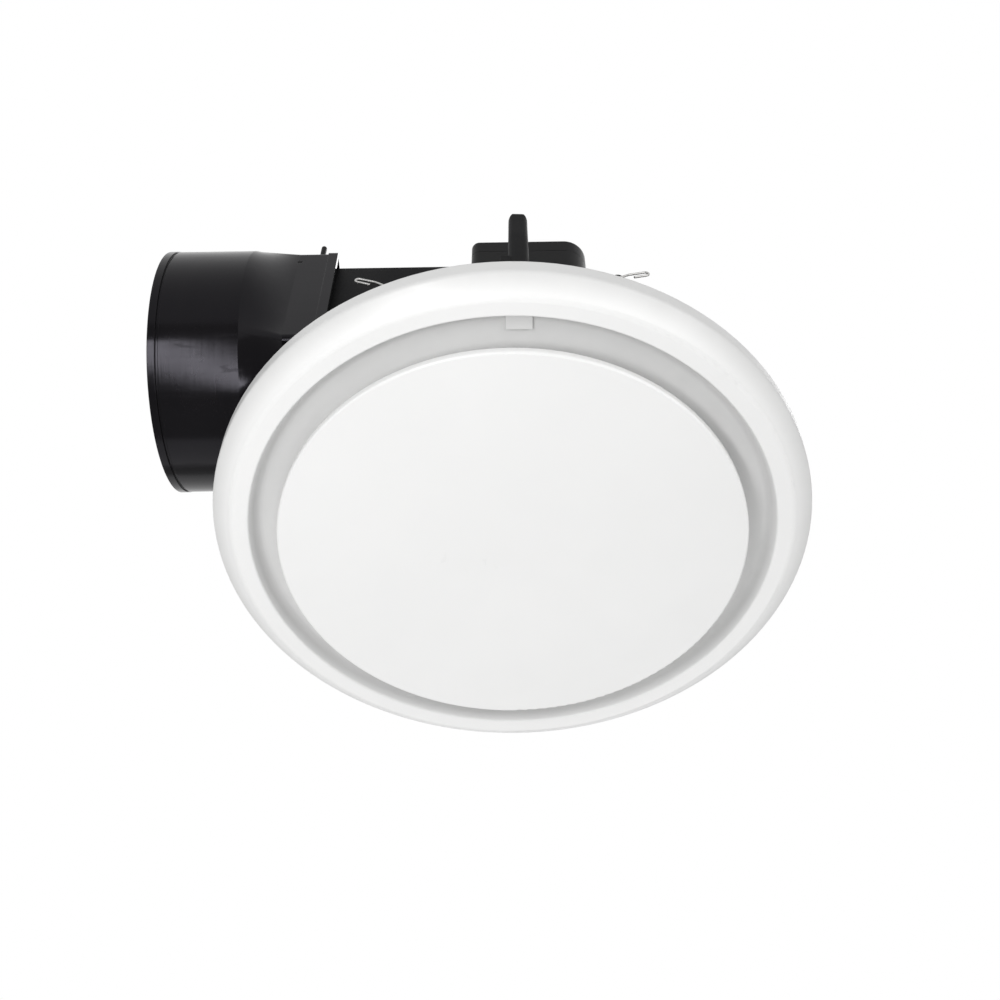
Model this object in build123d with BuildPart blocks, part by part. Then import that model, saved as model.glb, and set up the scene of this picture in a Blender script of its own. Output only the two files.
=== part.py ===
from build123d import *
import math
import os

# Ceiling exhaust fan with a side duct. Millimetres. The origin is on the fascia's axis in the plane of the
# ceiling's underside, +Z points up into the roof space and the duct leaves towards -X.

os.makedirs("parts", exist_ok=True)

# Clearances
SEAT_GAP = 0.05  # round piece pressed or pushed into its seat
TURN_GAP = 0.08  # radial play of a hinge pin or of a thread
RUN_GAP = 0.3  # between faces that pass each other
SLIDE_GAP = 0.4  # between shells that slip over each other

# Walls
FASCIA_WALL = 2.5
BODY_WALL = 2.5
BOX_WALL = 2.2
STRAP_WALL = 1.5

# Radii from the impeller outwards
WHEEL_R = 84.0
BLADE_W = 14.0
WHEEL_EYE_R = WHEEL_R - BLADE_W
SCROLL_ROOM = 13.0  # between the impeller and the scroll's first quarter
DRUM_ROOM = 46.0  # between the scroll's first quarter and the drum
FLANGE_W = 17.0
RIM_OVERHANG = 16.0
DRUM_R = WHEEL_R + SCROLL_ROOM + DRUM_ROOM
FLANGE_R = DRUM_R + FLANGE_W

# Fascia ring
FASCIA_R = FLANGE_R + RIM_OVERHANG
BEVEL_W = 11.4
FACE_W = 10.2
CHANNEL_LEAN = 3.4
FLOOR_W = 39.0
EDGE_DROP = 9.7  # depth of the upright outer edge
BEVEL_IN_R = FASCIA_R - BEVEL_W
BEVEL_DROP = 19.2
FACE_IN_R = BEVEL_IN_R - FACE_W
FACE_IN_DROP = 18.2
CHANNEL_R = FACE_IN_R - CHANNEL_LEAN
CHANNEL_DROP = 9.0
FLOOR_IN_R = CHANNEL_R - FLOOR_W
FLOOR_LIP = 4.0
SEAT_RIB_IN = 3.0  # from the flange's rim
SEAT_RIB_R = FLANGE_R - SEAT_RIB_IN
SEAT_RIB_T = 2.0
PAD_X = 5.3  # off the spring's middle
PAD_W = 14.2
PAD_RUN = 9.0  # from the channel's wall
PAD_T = 2.0

# Centre panel
INLET_GAP = 13.8
PANEL_R = CHANNEL_R - INLET_GAP
PANEL_FACE_DROP = 25.1
PANEL_SKIRT = 4.3
PANEL_WALL = 3.0
PANEL_EDGE_R = 1.4
POST_R = 4.5
POST_IN = 17.2  # from the panel's rim
POST_PITCH_R = PANEL_R - POST_IN
POST_COUNT = 4

# Body base
FLANGE_T = 2.5
GASKET_T = 1.5
GASKET_GAP = 3.0
GASKET_IN_R = DRUM_R + GASKET_GAP
DECK_TOP = 18.0
PEDESTAL_ROOM = 11.0  # past the impeller's rim
PEDESTAL_R = WHEEL_R + PEDESTAL_ROOM
PEDESTAL_LIP_IN_R = WHEEL_R
FLANGE_HOLE_R = 2.25
FLANGE_HOLE_IN = 7.5  # from the flange's rim
FLANGE_HOLE_PITCH_R = FLANGE_R - FLANGE_HOLE_IN
FLANGE_HOLE_COUNT = 4

# Scroll housing
FAN_X = 12.0
FAN_Y = 12.0
SCROLL_FLOOR = 32.0
SCROLL_H = 80.0
COVER_T = 3.0
SCROLL_R = WHEEL_R + SCROLL_ROOM  # radius of the first quarter, next to the tongue
SCROLL_STEP = 10.0  # growth of the radius from quarter to quarter
SPOUT_W = 116.0
SPOUT_END = -121.0
TONGUE_R = 5.0
BEAD_OUT = 4.0
BEAD_T = 3.0
BEAD_CORNER_R = 3.0
EAR_R = 5.0
EAR_OUT = 4.0
EAR_H = 6.0
EYE_GAP = 3.0  # from the eye's edge to the inside of the bell-mouth
INLET_R = WHEEL_EYE_R - EYE_GAP
INLET_WALL = 2.0
INLET_SEAT_GAP = 2.0
INLET_FLANGE_R = PEDESTAL_LIP_IN_R - INLET_SEAT_GAP
INLET_CURVE_R = 5.0

# Impeller
WHEEL_BOTTOM = 42.0
WHEEL_H = 62.0
WHEEL_PLATE_T = 2.5
BLADE_COUNT = 34
BLADE_T = 1.2
BLADE_SWEEP = 9.0
HUB_R = 12.0
HUB_H = 16.0
BUSH_R = 8.0

# Motor
SHAFT_R = 4.0
BEARING_R = 8.0
BEARING_H = 9.0
UPPER_BEARING_H = 6.0
MOTOR_R = 48.5
MOTOR_WALL = 2.5
MOTOR_LIFT = 4.0
MOTOR_H = 41.5
MOTOR_SPLIT = 20.0
MOTOR_BOSS_R = 11.0
STATOR_H = 22.0
STATOR_BORE_R = 24.5
WINDING_H = 4.5
MOUNT_PITCH_R = 54.0
MOUNT_COUNT = 3
MOUNT_R = 6.5

# Terminal box
BOX_X0 = -23.3
BOX_X1 = 48.2
BOX_DEPTH = 48.0
BOX_BASE_H = 18.0
BOX_LID_H = 13.8
BOX_CORNER_R = 5.0
BOX_BIG_CORNER_R = 14.0
GLAND_BORE_R = 4.2
GLAND_THREAD_R = 6.0
GLAND_NUT_R = 9.5

# Duct adapter
DUCT_R = 74.2
DUCT_END = -207.0
DUCT_Z = 90.0
DUCT_STRAIGHT = 52.0
DUCT_BEAD_R = DUCT_R + 0.3
DUCT_BEAD_T = 4.5
DUCT_GROOVE_W = 1.6
DUCT_GROOVE_DEPTH = 0.9
QUADRANT_HALF = 10.0  # degrees of flat left at each side of the round end
ADAPTER_WALL = 2.5
COLLAR_START = -127.0
COLLAR_END = -104.2
COLLAR_WALL = 2.8
COLLAR_CORNER_R = 3.4
COLLAR_BAND_X = -110.0
COLLAR_BAND_OUT = 0.6
LEDGE_T = 2.6
LEDGE_W = 2.8
LOCK_PIN_R = 1.7
LOCK_PIN_X = -114.9
LOCK_PIN_STAND = 14.9
LOCK_PIN_LENGTH = 70.4

# Backdraft flap
FLAP_T = 2.0
FLAP_MARGIN = 1.5
FLAP_CORNER_R = 16.0
FLAP_AXLE_R = 1.5
FLAP_AXLE_BELOW = 1.5
FLAP_BARREL_R = 3.0
FLAP_SEAL_T = 1.2
FLAP_SEAL_W = 2.3

# V-springs and their brackets
SPRING_X = -4.0
SPRING_IN = 19.0  # from the drum's outside
SPRING_Y = DRUM_R - SPRING_IN
SPRING_Z = 30.5
WIRE_R = 0.7
SPRING_R = 4.0
SPRING_PITCH = 1.85
SPRING_TURNS = 3
ARM_ANGLE = 56.5  # degrees from the vertical at rest
ARM_WRAP = 50.0
ARM_EASE = 1.2  # half the length of the bend that starts the wire's lean
ARM_LENGTH = 83.0
ARM_BEND_R = 5.0
ARM_END_RISE = 19.0
ARM_END_RUN = 9.0
ARM_SWEEP = 2.9  # degrees that the wire leans back to the spring's middle
HOOK_R = 1.8
HOOK_RUN = 8.0
SPRING_PIN_R = 3.0
EAR_PLATE_T = 2.0
EAR_PLATE_W = 14.0
EAR_PLATE_FOOT_W = 22.0
STRAP_RISE = 27.0  # from the coil's axis to the slot
STRAP_HALF = 55.0
STRAP_W = 18.0
SLOT_HALF = 52.8
SLOT_W = 12.2
SLOT_CORNER_R = 0.8
LEG_W = 8.0
FOOT_LENGTH = 12.0
SPRING_WINDOW_HALF = 26.0

# Ceiling clamps
TOWER_COUNT = 3
TOWER_ANGLE = -87.65
TOWER_IN = 3.7  # from the drum's outside
TOWER_R = DRUM_R - TOWER_IN
TOWER_TOP = 120.0
TOWER_DEPTH = 8.4
TOWER_CORNER_R = 3.6
TOWER_ROUND = 2.4
TOWER_DOME_R = 5.9
TOWER_DOME_H = 9.0
TOWER_W = 12.2
TOWER_TAPER = 0.5
TOWER_UNDERCUT = 56.0
TOWER_BLOCK_TOP = 66.0
TOWER_FOOT_TOP = 8.0
TOWER_FOOT_R = 6.0
CHEEK_W = 5.5
POCKET_ROOM = 3.0  # past the folded dog
POCKET_W = 20.0
CLAMP_SCREW_R = 2.0
CLAMP_SCREW_TOP = 62.0
CLAMP_HEAD_R = 3.6
CLAMP_HEAD_H = 2.4
DOG_H = 9.0
DOG_PARKED = 40.0
DOG_HUB_R = 4.6
DOG_LENGTH = 24.0
DOG_W = 7.0
DOG_FOLD = 100.0
DOG_TOOTH = 0.8
NUT_SIDE = 7.0
NUT_H = 3.2

# Small screws
SCREW_R = 1.7
SCREW_HEAD_R = 3.3
SCREW_HEAD_H = 2.2
SCREW_SLOT_W = 0.9
SCREW_SLOT_DEPTH = 1.0

# Levels and places that follow
FLANGE_TOP = -GASKET_T
FLANGE_BOTTOM = FLANGE_TOP - FLANGE_T
FLOOR_TOP = FASCIA_WALL - CHANNEL_DROP
DRUM_IN_R = DRUM_R - BODY_WALL
COVER_BOTTOM = SCROLL_FLOOR + SCROLL_H
COVER_TOP = COVER_BOTTOM + COVER_T
CENTRE_3 = (FAN_X - 6, FAN_Y - 5)
CENTRE_2 = (CENTRE_3[0] + SCROLL_STEP, CENTRE_3[1])
CENTRE_1 = (CENTRE_2[0], CENTRE_2[1] + SCROLL_STEP)
SCROLL_R2 = SCROLL_R + SCROLL_STEP
SCROLL_R3 = SCROLL_R2 + SCROLL_STEP
SPOUT_Y0 = CENTRE_3[1] - SCROLL_R3
SPOUT_Y1 = SPOUT_Y0 + SPOUT_W
TONGUE_X = CENTRE_1[0] - SCROLL_R
DUCT_Y = (SPOUT_Y0 + SPOUT_Y1) / 2
BOX_Y0 = SPOUT_Y0
BOX_Y1 = BOX_Y0 + BOX_DEPTH
BOX_BASE_TOP = COVER_TOP + BOX_BASE_H
BOX_TOP = BOX_BASE_TOP + BOX_LID_H
WHEEL_TOP = WHEEL_BOTTOM + WHEEL_H
MOTOR_BOTTOM = COVER_TOP + MOTOR_LIFT
MOTOR_TOP = MOTOR_BOTTOM + MOTOR_H
STATOR_BOTTOM = MOTOR_BOTTOM + (MOTOR_H - STATOR_H) / 2
DUCT_STRAIGHT_END = DUCT_END + DUCT_STRAIGHT
STRAP_Z = SPRING_Z + STRAP_RISE
FAN_CENTRE = (FAN_X, FAN_Y)
FAN_AXIS = Axis((FAN_X, FAN_Y, 0), (0, 0, 1))

# Helpers


def skin(points, wall):
    """Closed outline of a wall of even thickness laid on the left of a row of points."""
    row = [Vector(*p) for p in points]
    sides = [(b - a).normalized().rotate(Axis.Z, 90) for a, b in zip(row, row[1:])]
    back = [row[0] + sides[0] * wall]
    for p, s, t in zip(row[1:-1], sides, sides[1:]):
        back.append(p + (s + t) * (wall / (1 + s.dot(t))))
    back.append(row[-1] + sides[-1] * wall)
    return row + back[::-1]


def ring_at(radius_in, radius_out, bottom, height, centre=(0, 0)):
    """Flat ring or round tube standing on the level called bottom."""
    with BuildPart() as ring:
        with BuildSketch(Plane.XY.offset(bottom)):
            with Locations(centre):
                Circle(radius_out)
                if radius_in > 0:
                    Circle(radius_in, mode=Mode.SUBTRACT)
        extrude(amount=height)
    return ring.part


def volute(inset, outlet_x):
    """Plan of the scroll, its wall line moved inwards by inset, with the outlet cut off at outlet_x."""
    tongue = (TONGUE_X - TONGUE_R, SPOUT_Y1 + TONGUE_R)
    near = SPOUT_Y0 + inset
    far = SPOUT_Y1 - inset
    start_x = TONGUE_X + inset
    with BuildSketch() as plan:
        with BuildLine():
            Line((outlet_x, near), (CENTRE_3[0], near))
            CenterArc(CENTRE_3, SCROLL_R3 - inset, -90, 90)
            CenterArc(CENTRE_2, SCROLL_R2 - inset, 0, 90)
            CenterArc(CENTRE_1, SCROLL_R - inset, 90, 90)
            Line((start_x, CENTRE_1[1]), (start_x, tongue[1]))
            CenterArc(tongue, TONGUE_R + inset, 0, -90)
            Line((tongue[0], far), (outlet_x, far))
            Line((outlet_x, far), (outlet_x, near))
        make_face()
    return plan.sketch


def ear_places():
    """Centres of the screw ears around the scroll, two on each quarter."""
    quarters = [(CENTRE_3, SCROLL_R3, (-60, -15)), (CENTRE_2, SCROLL_R2, (20, 70)), (CENTRE_1, SCROLL_R, (120, 165))]
    places = []
    for centre, radius, angles in quarters:
        for angle in angles:
            reach = radius + EAR_OUT
            turn = math.radians(angle)
            places.append((centre[0] + reach * math.cos(turn), centre[1] + reach * math.sin(turn)))
    return places


def screws(places, seat, length, down=True):
    """Slotted pan-head screws whose heads sit on the level called seat, one at each place."""
    way = 1 if down else -1
    with BuildPart() as group:
        for place in places:
            with BuildSketch(Plane.XY.offset(seat)):
                with Locations(place):
                    Circle(SCREW_HEAD_R)
            extrude(amount=way * SCREW_HEAD_H)
            with BuildSketch(Plane.XY.offset(seat)):
                with Locations(place):
                    Circle(SCREW_R)
            extrude(amount=-way * length)
            with BuildSketch(Plane.XY.offset(seat + way * (SCREW_HEAD_H - SCREW_SLOT_DEPTH))):
                with Locations(place):
                    Rectangle(2 * SCREW_HEAD_R + 1, SCREW_SLOT_W)
            extrude(amount=way * SCREW_SLOT_DEPTH, mode=Mode.SUBTRACT)
    return group.part


def circle_places(radius, count, start, centre=(0, 0)):
    """Points spread evenly on a circle, from the angle start in degrees."""
    turns = [math.radians(start + i * 360 / count) for i in range(count)]
    return [(centre[0] + radius * math.cos(t), centre[1] + radius * math.sin(t)) for t in turns]


def side_plane(side, height=0.0):
    """Plane turned so that its -Y points to the near side (side 0) or the far side (side 1)."""
    facing = 1 if side == 0 else -1
    return Plane(origin=(0, 0, height), x_dir=(facing, 0, 0), z_dir=(0, 0, 1))


def tower_plane(tower, height):
    """Plane of one clamp tower: local X is radial, local Y runs round the drum."""
    turn = math.radians(TOWER_ANGLE + tower * 360 / TOWER_COUNT)
    return Plane(origin=(0, 0, height), x_dir=(math.cos(turn), math.sin(turn), 0), z_dir=(0, 0, 1))


def dome_plane(tower):
    """Upright plane through one tower, facing out: local X runs round the drum, local Y is the height under the top."""
    turn = math.radians(TOWER_ANGLE + tower * 360 / TOWER_COUNT)
    out = (math.cos(turn), math.sin(turn), 0)
    return Plane(origin=(TOWER_R * out[0], TOWER_R * out[1], TOWER_TOP), x_dir=(-out[1], out[0], 0), z_dir=out)


def save(part, name):
    """Names a finished piece and writes its file."""
    part.label = name
    export_step(part, "parts/" + name + ".step")


# Fascia ring: upright edge, bevel, face, recessed channel and the floor behind the centre panel

FLOOR_HOLES = circle_places(POST_PITCH_R, POST_COUNT, 45)
COIL_HALF = SPRING_PITCH * (SPRING_TURNS + (180 - 2 * ARM_ANGLE) / 360) / 2
ARM_OFFSET = COIL_HALF + SPRING_PITCH
EAR_PLATE_IN = ARM_OFFSET + WIRE_R + 0.5

with BuildPart() as fascia_ring:
    underside = [
        (FLOOR_IN_R, -CHANNEL_DROP),
        (CHANNEL_R, -CHANNEL_DROP),
        (FACE_IN_R, -FACE_IN_DROP),
        (BEVEL_IN_R, -BEVEL_DROP),
        (FASCIA_R, -EDGE_DROP),
        (FASCIA_R, 0),
    ]
    outline = skin(underside, FASCIA_WALL)
    rounding = [0, 6.0, 1.6, 4.0, 3.0, 0, 0, 1.0, 1.5, 3.5, 7.5, 0]
    with BuildSketch(Plane.XZ):
        with BuildLine():
            FilletPolyline(*outline, radius=rounding, close=True)
        make_face()
        with Locations((SEAT_RIB_R, FLANGE_BOTTOM)):
            Rectangle(SEAT_RIB_T, FACE_IN_DROP + FLANGE_BOTTOM - 1, align=(Align.CENTER, Align.MAX))
        with Locations((FLOOR_IN_R, FLOOR_TOP)):
            Rectangle(FASCIA_WALL, FLOOR_LIP, align=(Align.MIN, Align.MIN))
    revolve(axis=Axis.Z)
    with BuildSketch(Plane.XY.offset(-CHANNEL_DROP - PAD_T)):
        with Locations((PAD_X, -CHANNEL_R), (-PAD_X, CHANNEL_R - PAD_RUN)):
            Rectangle(PAD_W, PAD_RUN, align=(Align.CENTER, Align.MIN))
    extrude(amount=PAD_T + 0.5)
    for side in (0, 1):
        facing = 1 if side == 0 else -1
        for offset in (EAR_PLATE_IN, -EAR_PLATE_IN - EAR_PLATE_T):
            plate = Plane(
                origin=(facing * SPRING_X, facing * (-SPRING_Y - offset), SPRING_Z),
                x_dir=(facing, 0, 0),
                z_dir=(0, -facing, 0),
            )
            with BuildSketch(plate):
                with BuildLine():
                    top = EAR_PLATE_W / 2
                    foot = FLOOR_TOP - SPRING_Z - FASCIA_WALL / 2
                    CenterArc((0, 0), top, 0, 180)
                    Polyline((-top, 0), (-EAR_PLATE_FOOT_W / 2, foot), (EAR_PLATE_FOOT_W / 2, foot), (top, 0))
                make_face()
                Circle(SPRING_PIN_R + SEAT_GAP, mode=Mode.SUBTRACT)
            extrude(amount=EAR_PLATE_T)
    with BuildSketch(Plane.XY.offset(-CHANNEL_DROP)):
        with Locations(*FLOOR_HOLES):
            Circle(SCREW_R + TURN_GAP)
    extrude(amount=FASCIA_WALL, mode=Mode.SUBTRACT)
save(fascia_ring.part, "fascia_ring")

# Centre panel: flat disc with a short skirt and four posts up to the ring's floor

PANEL_BACK = PANEL_WALL - PANEL_FACE_DROP

with BuildPart() as centre_panel:
    with BuildSketch(Plane.XY.offset(-PANEL_FACE_DROP)):
        Circle(PANEL_R)
    extrude(amount=PANEL_SKIRT)
    fillet(centre_panel.edges().filter_by(GeomType.CIRCLE).sort_by(Axis.Z)[0], PANEL_EDGE_R)
    with BuildSketch(Plane.XY.offset(PANEL_BACK)):
        Circle(PANEL_R - PANEL_WALL)
    extrude(amount=PANEL_SKIRT - PANEL_WALL, mode=Mode.SUBTRACT)
    with BuildSketch(Plane.XY.offset(PANEL_BACK)):
        with Locations(*FLOOR_HOLES):
            Circle(POST_R)
            Circle(SCREW_R + SEAT_GAP, mode=Mode.SUBTRACT)
    extrude(amount=-CHANNEL_DROP - PANEL_BACK)
    with BuildSketch(Plane.XY.offset(PANEL_BACK)):
        for radius in (40, 80):
            Circle(radius + 0.75)
            Circle(radius - 0.75, mode=Mode.SUBTRACT)
    extrude(amount=3)
save(centre_panel.part, "centre_panel")
save(screws(FLOOR_HOLES, FLOOR_TOP, FASCIA_WALL + 9), "panel_screws")

# Body base: flange, drum, deck, inlet pedestal and clamp towers

FLANGE_HOLES = circle_places(FLANGE_HOLE_PITCH_R, FLANGE_HOLE_COUNT, 45)
PEDESTAL_HOLES = circle_places(PEDESTAL_LIP_IN_R + 4, 4, 45, FAN_CENTRE)
FOOT_HOLE_X = STRAP_HALF - STRAP_WALL - FOOT_LENGTH / 2
FOOT_HOLE_Y = -SPRING_Y + STRAP_W / 2 - LEG_W / 2

with BuildPart() as body_base:
    with BuildSketch(Plane.XY.offset(FLANGE_BOTTOM)):
        Circle(FLANGE_R)
        Circle(DRUM_IN_R, mode=Mode.SUBTRACT)
        with Locations(*FLANGE_HOLES):
            Circle(FLANGE_HOLE_R, mode=Mode.SUBTRACT)
    extrude(amount=FLANGE_T)
    with BuildSketch(Plane.XY.offset(FLANGE_BOTTOM)):
        Circle(DRUM_R)
        Circle(DRUM_IN_R, mode=Mode.SUBTRACT)
    extrude(amount=DECK_TOP - FLANGE_BOTTOM)
    with BuildSketch(Plane.XY.offset(DECK_TOP - BODY_WALL)):
        Circle(DRUM_R)
        with Locations(FAN_CENTRE):
            Circle(PEDESTAL_R - BODY_WALL, mode=Mode.SUBTRACT)
    extrude(amount=BODY_WALL)
    with BuildSketch(Plane.XY.offset(DECK_TOP - BODY_WALL)):
        with Locations(FAN_CENTRE):
            Circle(PEDESTAL_R)
            Circle(PEDESTAL_R - BODY_WALL, mode=Mode.SUBTRACT)
    extrude(amount=SCROLL_FLOOR - DECK_TOP + BODY_WALL)
    with BuildSketch(Plane.XY.offset(SCROLL_FLOOR - BODY_WALL)):
        with Locations(FAN_CENTRE):
            Circle(PEDESTAL_R)
            Circle(PEDESTAL_LIP_IN_R, mode=Mode.SUBTRACT)
        with Locations(*PEDESTAL_HOLES):
            Circle(SCREW_R + TURN_GAP, mode=Mode.SUBTRACT)
    extrude(amount=BODY_WALL)
    for side in (0, 1):
        with BuildSketch(side_plane(side, DECK_TOP - BODY_WALL)):
            with Locations((SPRING_X, -SPRING_Y)):
                Rectangle(2 * SPRING_WINDOW_HALF, 2 * (EAR_PLATE_IN + EAR_PLATE_T) + 2)
            with Locations((SPRING_X - FOOT_HOLE_X, FOOT_HOLE_Y), (SPRING_X + FOOT_HOLE_X, FOOT_HOLE_Y)):
                Circle(SCREW_R + SEAT_GAP)
        extrude(amount=BODY_WALL, mode=Mode.SUBTRACT)
    for tower in range(TOWER_COUNT):
        with BuildSketch(tower_plane(tower, TOWER_UNDERCUT)):
            with Locations((TOWER_R, 0)):
                RectangleRounded(TOWER_DEPTH, TOWER_W, TOWER_CORNER_R)
        extrude(amount=TOWER_TOP - TOWER_UNDERCUT, taper=TOWER_TAPER)
        cheek_in = DOG_HUB_R + SLIDE_GAP
        with BuildSketch(tower_plane(tower, FLANGE_BOTTOM)):
            with Locations((TOWER_R, -cheek_in - CHEEK_W / 2)):
                Rectangle(TOWER_DEPTH, CHEEK_W)
        extrude(amount=TOWER_BLOCK_TOP - FLANGE_BOTTOM)
        with BuildSketch(tower_plane(tower, TOWER_UNDERCUT)):
            with Locations((TOWER_R, -cheek_in / 2 - 0.5)):
                Rectangle(TOWER_DEPTH - 1, cheek_in + 1)
        extrude(amount=TOWER_BLOCK_TOP - TOWER_UNDERCUT)
        with BuildSketch(tower_plane(tower, FLANGE_BOTTOM)):
            with Locations((TOWER_R, 0)):
                Circle(TOWER_FOOT_R)
        extrude(amount=TOWER_FOOT_TOP - FLANGE_BOTTOM)
        with BuildSketch(tower_plane(tower, TOWER_FOOT_TOP)):
            with Locations((TOWER_R - DOG_W - POCKET_ROOM, -cheek_in)):
                Rectangle(POCKET_W, cheek_in + DOG_LENGTH + POCKET_ROOM, align=(Align.MIN, Align.MIN))
        extrude(amount=DECK_TOP - TOWER_FOOT_TOP, mode=Mode.SUBTRACT)
        with BuildSketch(tower_plane(tower, FLANGE_BOTTOM)):
            with Locations((TOWER_R, 0)):
                Circle(CLAMP_HEAD_R + SLIDE_GAP)
        extrude(amount=CLAMP_HEAD_H + SLIDE_GAP, mode=Mode.SUBTRACT)
        with BuildSketch(tower_plane(tower, FLANGE_BOTTOM)):
            with Locations((TOWER_R, 0)):
                Circle(CLAMP_SCREW_R + TURN_GAP)
        extrude(amount=CLAMP_SCREW_TOP + 2 - FLANGE_BOTTOM, mode=Mode.SUBTRACT)
    tops = body_base.faces().filter_by(Axis.Z).filter_by_position(Axis.Z, TOWER_TOP - 0.1, TOWER_TOP + 0.1)
    fillet(tops.edges(), TOWER_ROUND)
    for tower in range(TOWER_COUNT):
        with BuildSketch(dome_plane(tower)):
            with Locations((0, -TOWER_DOME_H)):
                Rectangle(2 * TOWER_W, 2 * TOWER_DOME_H, align=(Align.CENTER, Align.MIN))
                Ellipse(TOWER_DOME_R, TOWER_DOME_H, mode=Mode.SUBTRACT)
        extrude(amount=TOWER_DEPTH, both=True, mode=Mode.SUBTRACT)
save(body_base.part, "body_base")

with BuildPart() as flange_gasket:
    with BuildSketch(Plane.XY.offset(FLANGE_TOP)):
        Circle(FLANGE_R)
        Circle(GASKET_IN_R, mode=Mode.SUBTRACT)
        with Locations(*FLANGE_HOLES):
            Circle(FLANGE_HOLE_R, mode=Mode.SUBTRACT)
    extrude(amount=GASKET_T)
save(flange_gasket.part, "flange_gasket")

# Scroll housing: floor, volute wall, spout bead and screw ears


def bead_face(bottom, top, low_r, high_r):
    """Frame's outline round the spout's end between two levels, its lower and upper corners rounded."""
    y0, y1 = SPOUT_Y0 - BEAD_OUT, SPOUT_Y1 + BEAD_OUT
    with BuildSketch(Plane.YZ.offset(SPOUT_END)) as face:
        with BuildLine():
            FilletPolyline(
                (y0, top), (y0, bottom), (y1, bottom), (y1, top), radius=[high_r, low_r, low_r, high_r], close=True
            )
        make_face()
    return face.sketch


INLET_HOLES = circle_places(INLET_FLANGE_R - 4.5, 3, 20, FAN_CENTRE)

with BuildPart() as scroll_housing:
    with BuildSketch(Plane.XY.offset(SCROLL_FLOOR)):
        add(volute(0, SPOUT_END))
    extrude(amount=SCROLL_H)
    with BuildSketch(Plane.XY.offset(COVER_BOTTOM - EAR_H)):
        with Locations(*ear_places()):
            Circle(EAR_R)
    extrude(amount=EAR_H)
    extrude(bead_face(SCROLL_FLOOR - BEAD_OUT, COVER_BOTTOM, BEAD_CORNER_R, 0), amount=BEAD_T, dir=(1, 0, 0))
    with BuildSketch(Plane.XY.offset(SCROLL_FLOOR + BODY_WALL)):
        add(volute(BODY_WALL, SPOUT_END))
    extrude(amount=SCROLL_H, mode=Mode.SUBTRACT)
    with BuildSketch(Plane.XY.offset(SCROLL_FLOOR)):
        with Locations(*PEDESTAL_HOLES):
            Circle(EAR_R - 1)
    extrude(amount=EAR_H + 1)
    with BuildSketch(Plane.XY.offset(SCROLL_FLOOR)):
        with Locations(FAN_CENTRE):
            Circle(INLET_R + INLET_CURVE_R + RUN_GAP)
        with Locations(*INLET_HOLES, *PEDESTAL_HOLES):
            Circle(SCREW_R + SEAT_GAP)
    extrude(amount=EAR_H + 1, mode=Mode.SUBTRACT)
    with BuildSketch(Plane.XY.offset(COVER_BOTTOM)):
        with Locations(*ear_places()):
            Circle(SCREW_R + SEAT_GAP)
    extrude(amount=-EAR_H, mode=Mode.SUBTRACT)
save(scroll_housing.part, "scroll_housing")
save(screws(PEDESTAL_HOLES, SCROLL_FLOOR - BODY_WALL, BODY_WALL + EAR_H, down=False), "housing_screws")

# Scroll cover: lid of the volute with the spout's top bead and the opening for the shaft

MOUNT_PLACES = circle_places(MOUNT_PITCH_R, MOUNT_COUNT, 60, FAN_CENTRE)
BOX_FIXINGS = [(BOX_X0 + 10, BOX_Y1 - 8), (BOX_X0 + 20.5, BOX_Y0 + 10)]

with BuildPart() as scroll_cover:
    with BuildSketch(Plane.XY.offset(COVER_BOTTOM)):
        add(volute(0, SPOUT_END))
        with Locations(*ear_places()):
            Circle(EAR_R)
    extrude(amount=COVER_T)
    extrude(bead_face(COVER_BOTTOM, COVER_TOP + BEAD_OUT, 0, BEAD_CORNER_R), amount=BEAD_T, dir=(1, 0, 0))
    with BuildSketch(Plane.XY.offset(COVER_BOTTOM)):
        with Locations(FAN_CENTRE):
            Circle(MOTOR_BOSS_R + 3)
        with Locations(*ear_places(), *MOUNT_PLACES, *BOX_FIXINGS):
            Circle(SCREW_R + TURN_GAP)
    extrude(amount=COVER_T, mode=Mode.SUBTRACT)
save(scroll_cover.part, "scroll_cover")
save(screws(ear_places(), COVER_TOP, COVER_T + EAR_H), "cover_screws")

# Inlet ring: bell-mouth under the scroll's floor that reaches into the impeller's eye

with BuildPart() as inlet_ring:
    curve_x = INLET_R + INLET_CURVE_R
    curve_z = SCROLL_FLOOR - BODY_WALL + INLET_CURVE_R
    neck_top = WHEEL_BOTTOM + 4
    inner_r = INLET_CURVE_R - INLET_WALL
    with BuildSketch(Plane(origin=(FAN_X, FAN_Y, 0), x_dir=(1, 0, 0), z_dir=(0, -1, 0))):
        with BuildLine():
            Line((INLET_FLANGE_R, curve_z - INLET_CURVE_R), (curve_x, curve_z - INLET_CURVE_R))
            CenterArc((curve_x, curve_z), INLET_CURVE_R, 270, -90)
            Polyline(
                (INLET_R, curve_z),
                (INLET_R, neck_top),
                (INLET_R + INLET_WALL, neck_top),
                (INLET_R + INLET_WALL, curve_z),
            )
            CenterArc((curve_x, curve_z), inner_r, 180, 90)
            Polyline(
                (curve_x, curve_z - inner_r),
                (curve_x, SCROLL_FLOOR),
                (INLET_FLANGE_R, SCROLL_FLOOR),
                (INLET_FLANGE_R, curve_z - INLET_CURVE_R),
            )
        make_face()
    revolve(axis=FAN_AXIS)
    with BuildSketch(Plane.XY.offset(SCROLL_FLOOR - BODY_WALL)):
        with Locations(*INLET_HOLES):
            Circle(SCREW_R + TURN_GAP)
    extrude(amount=BODY_WALL, mode=Mode.SUBTRACT)
save(inlet_ring.part, "inlet_ring")
save(screws(INLET_HOLES, SCROLL_FLOOR - BODY_WALL, BODY_WALL + 2.4, down=False), "inlet_screws")

# Impeller: hub, back plate, forward-curved blades and eye ring in one moulding

PLATE_BOTTOM = WHEEL_TOP - WHEEL_PLATE_T


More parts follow.
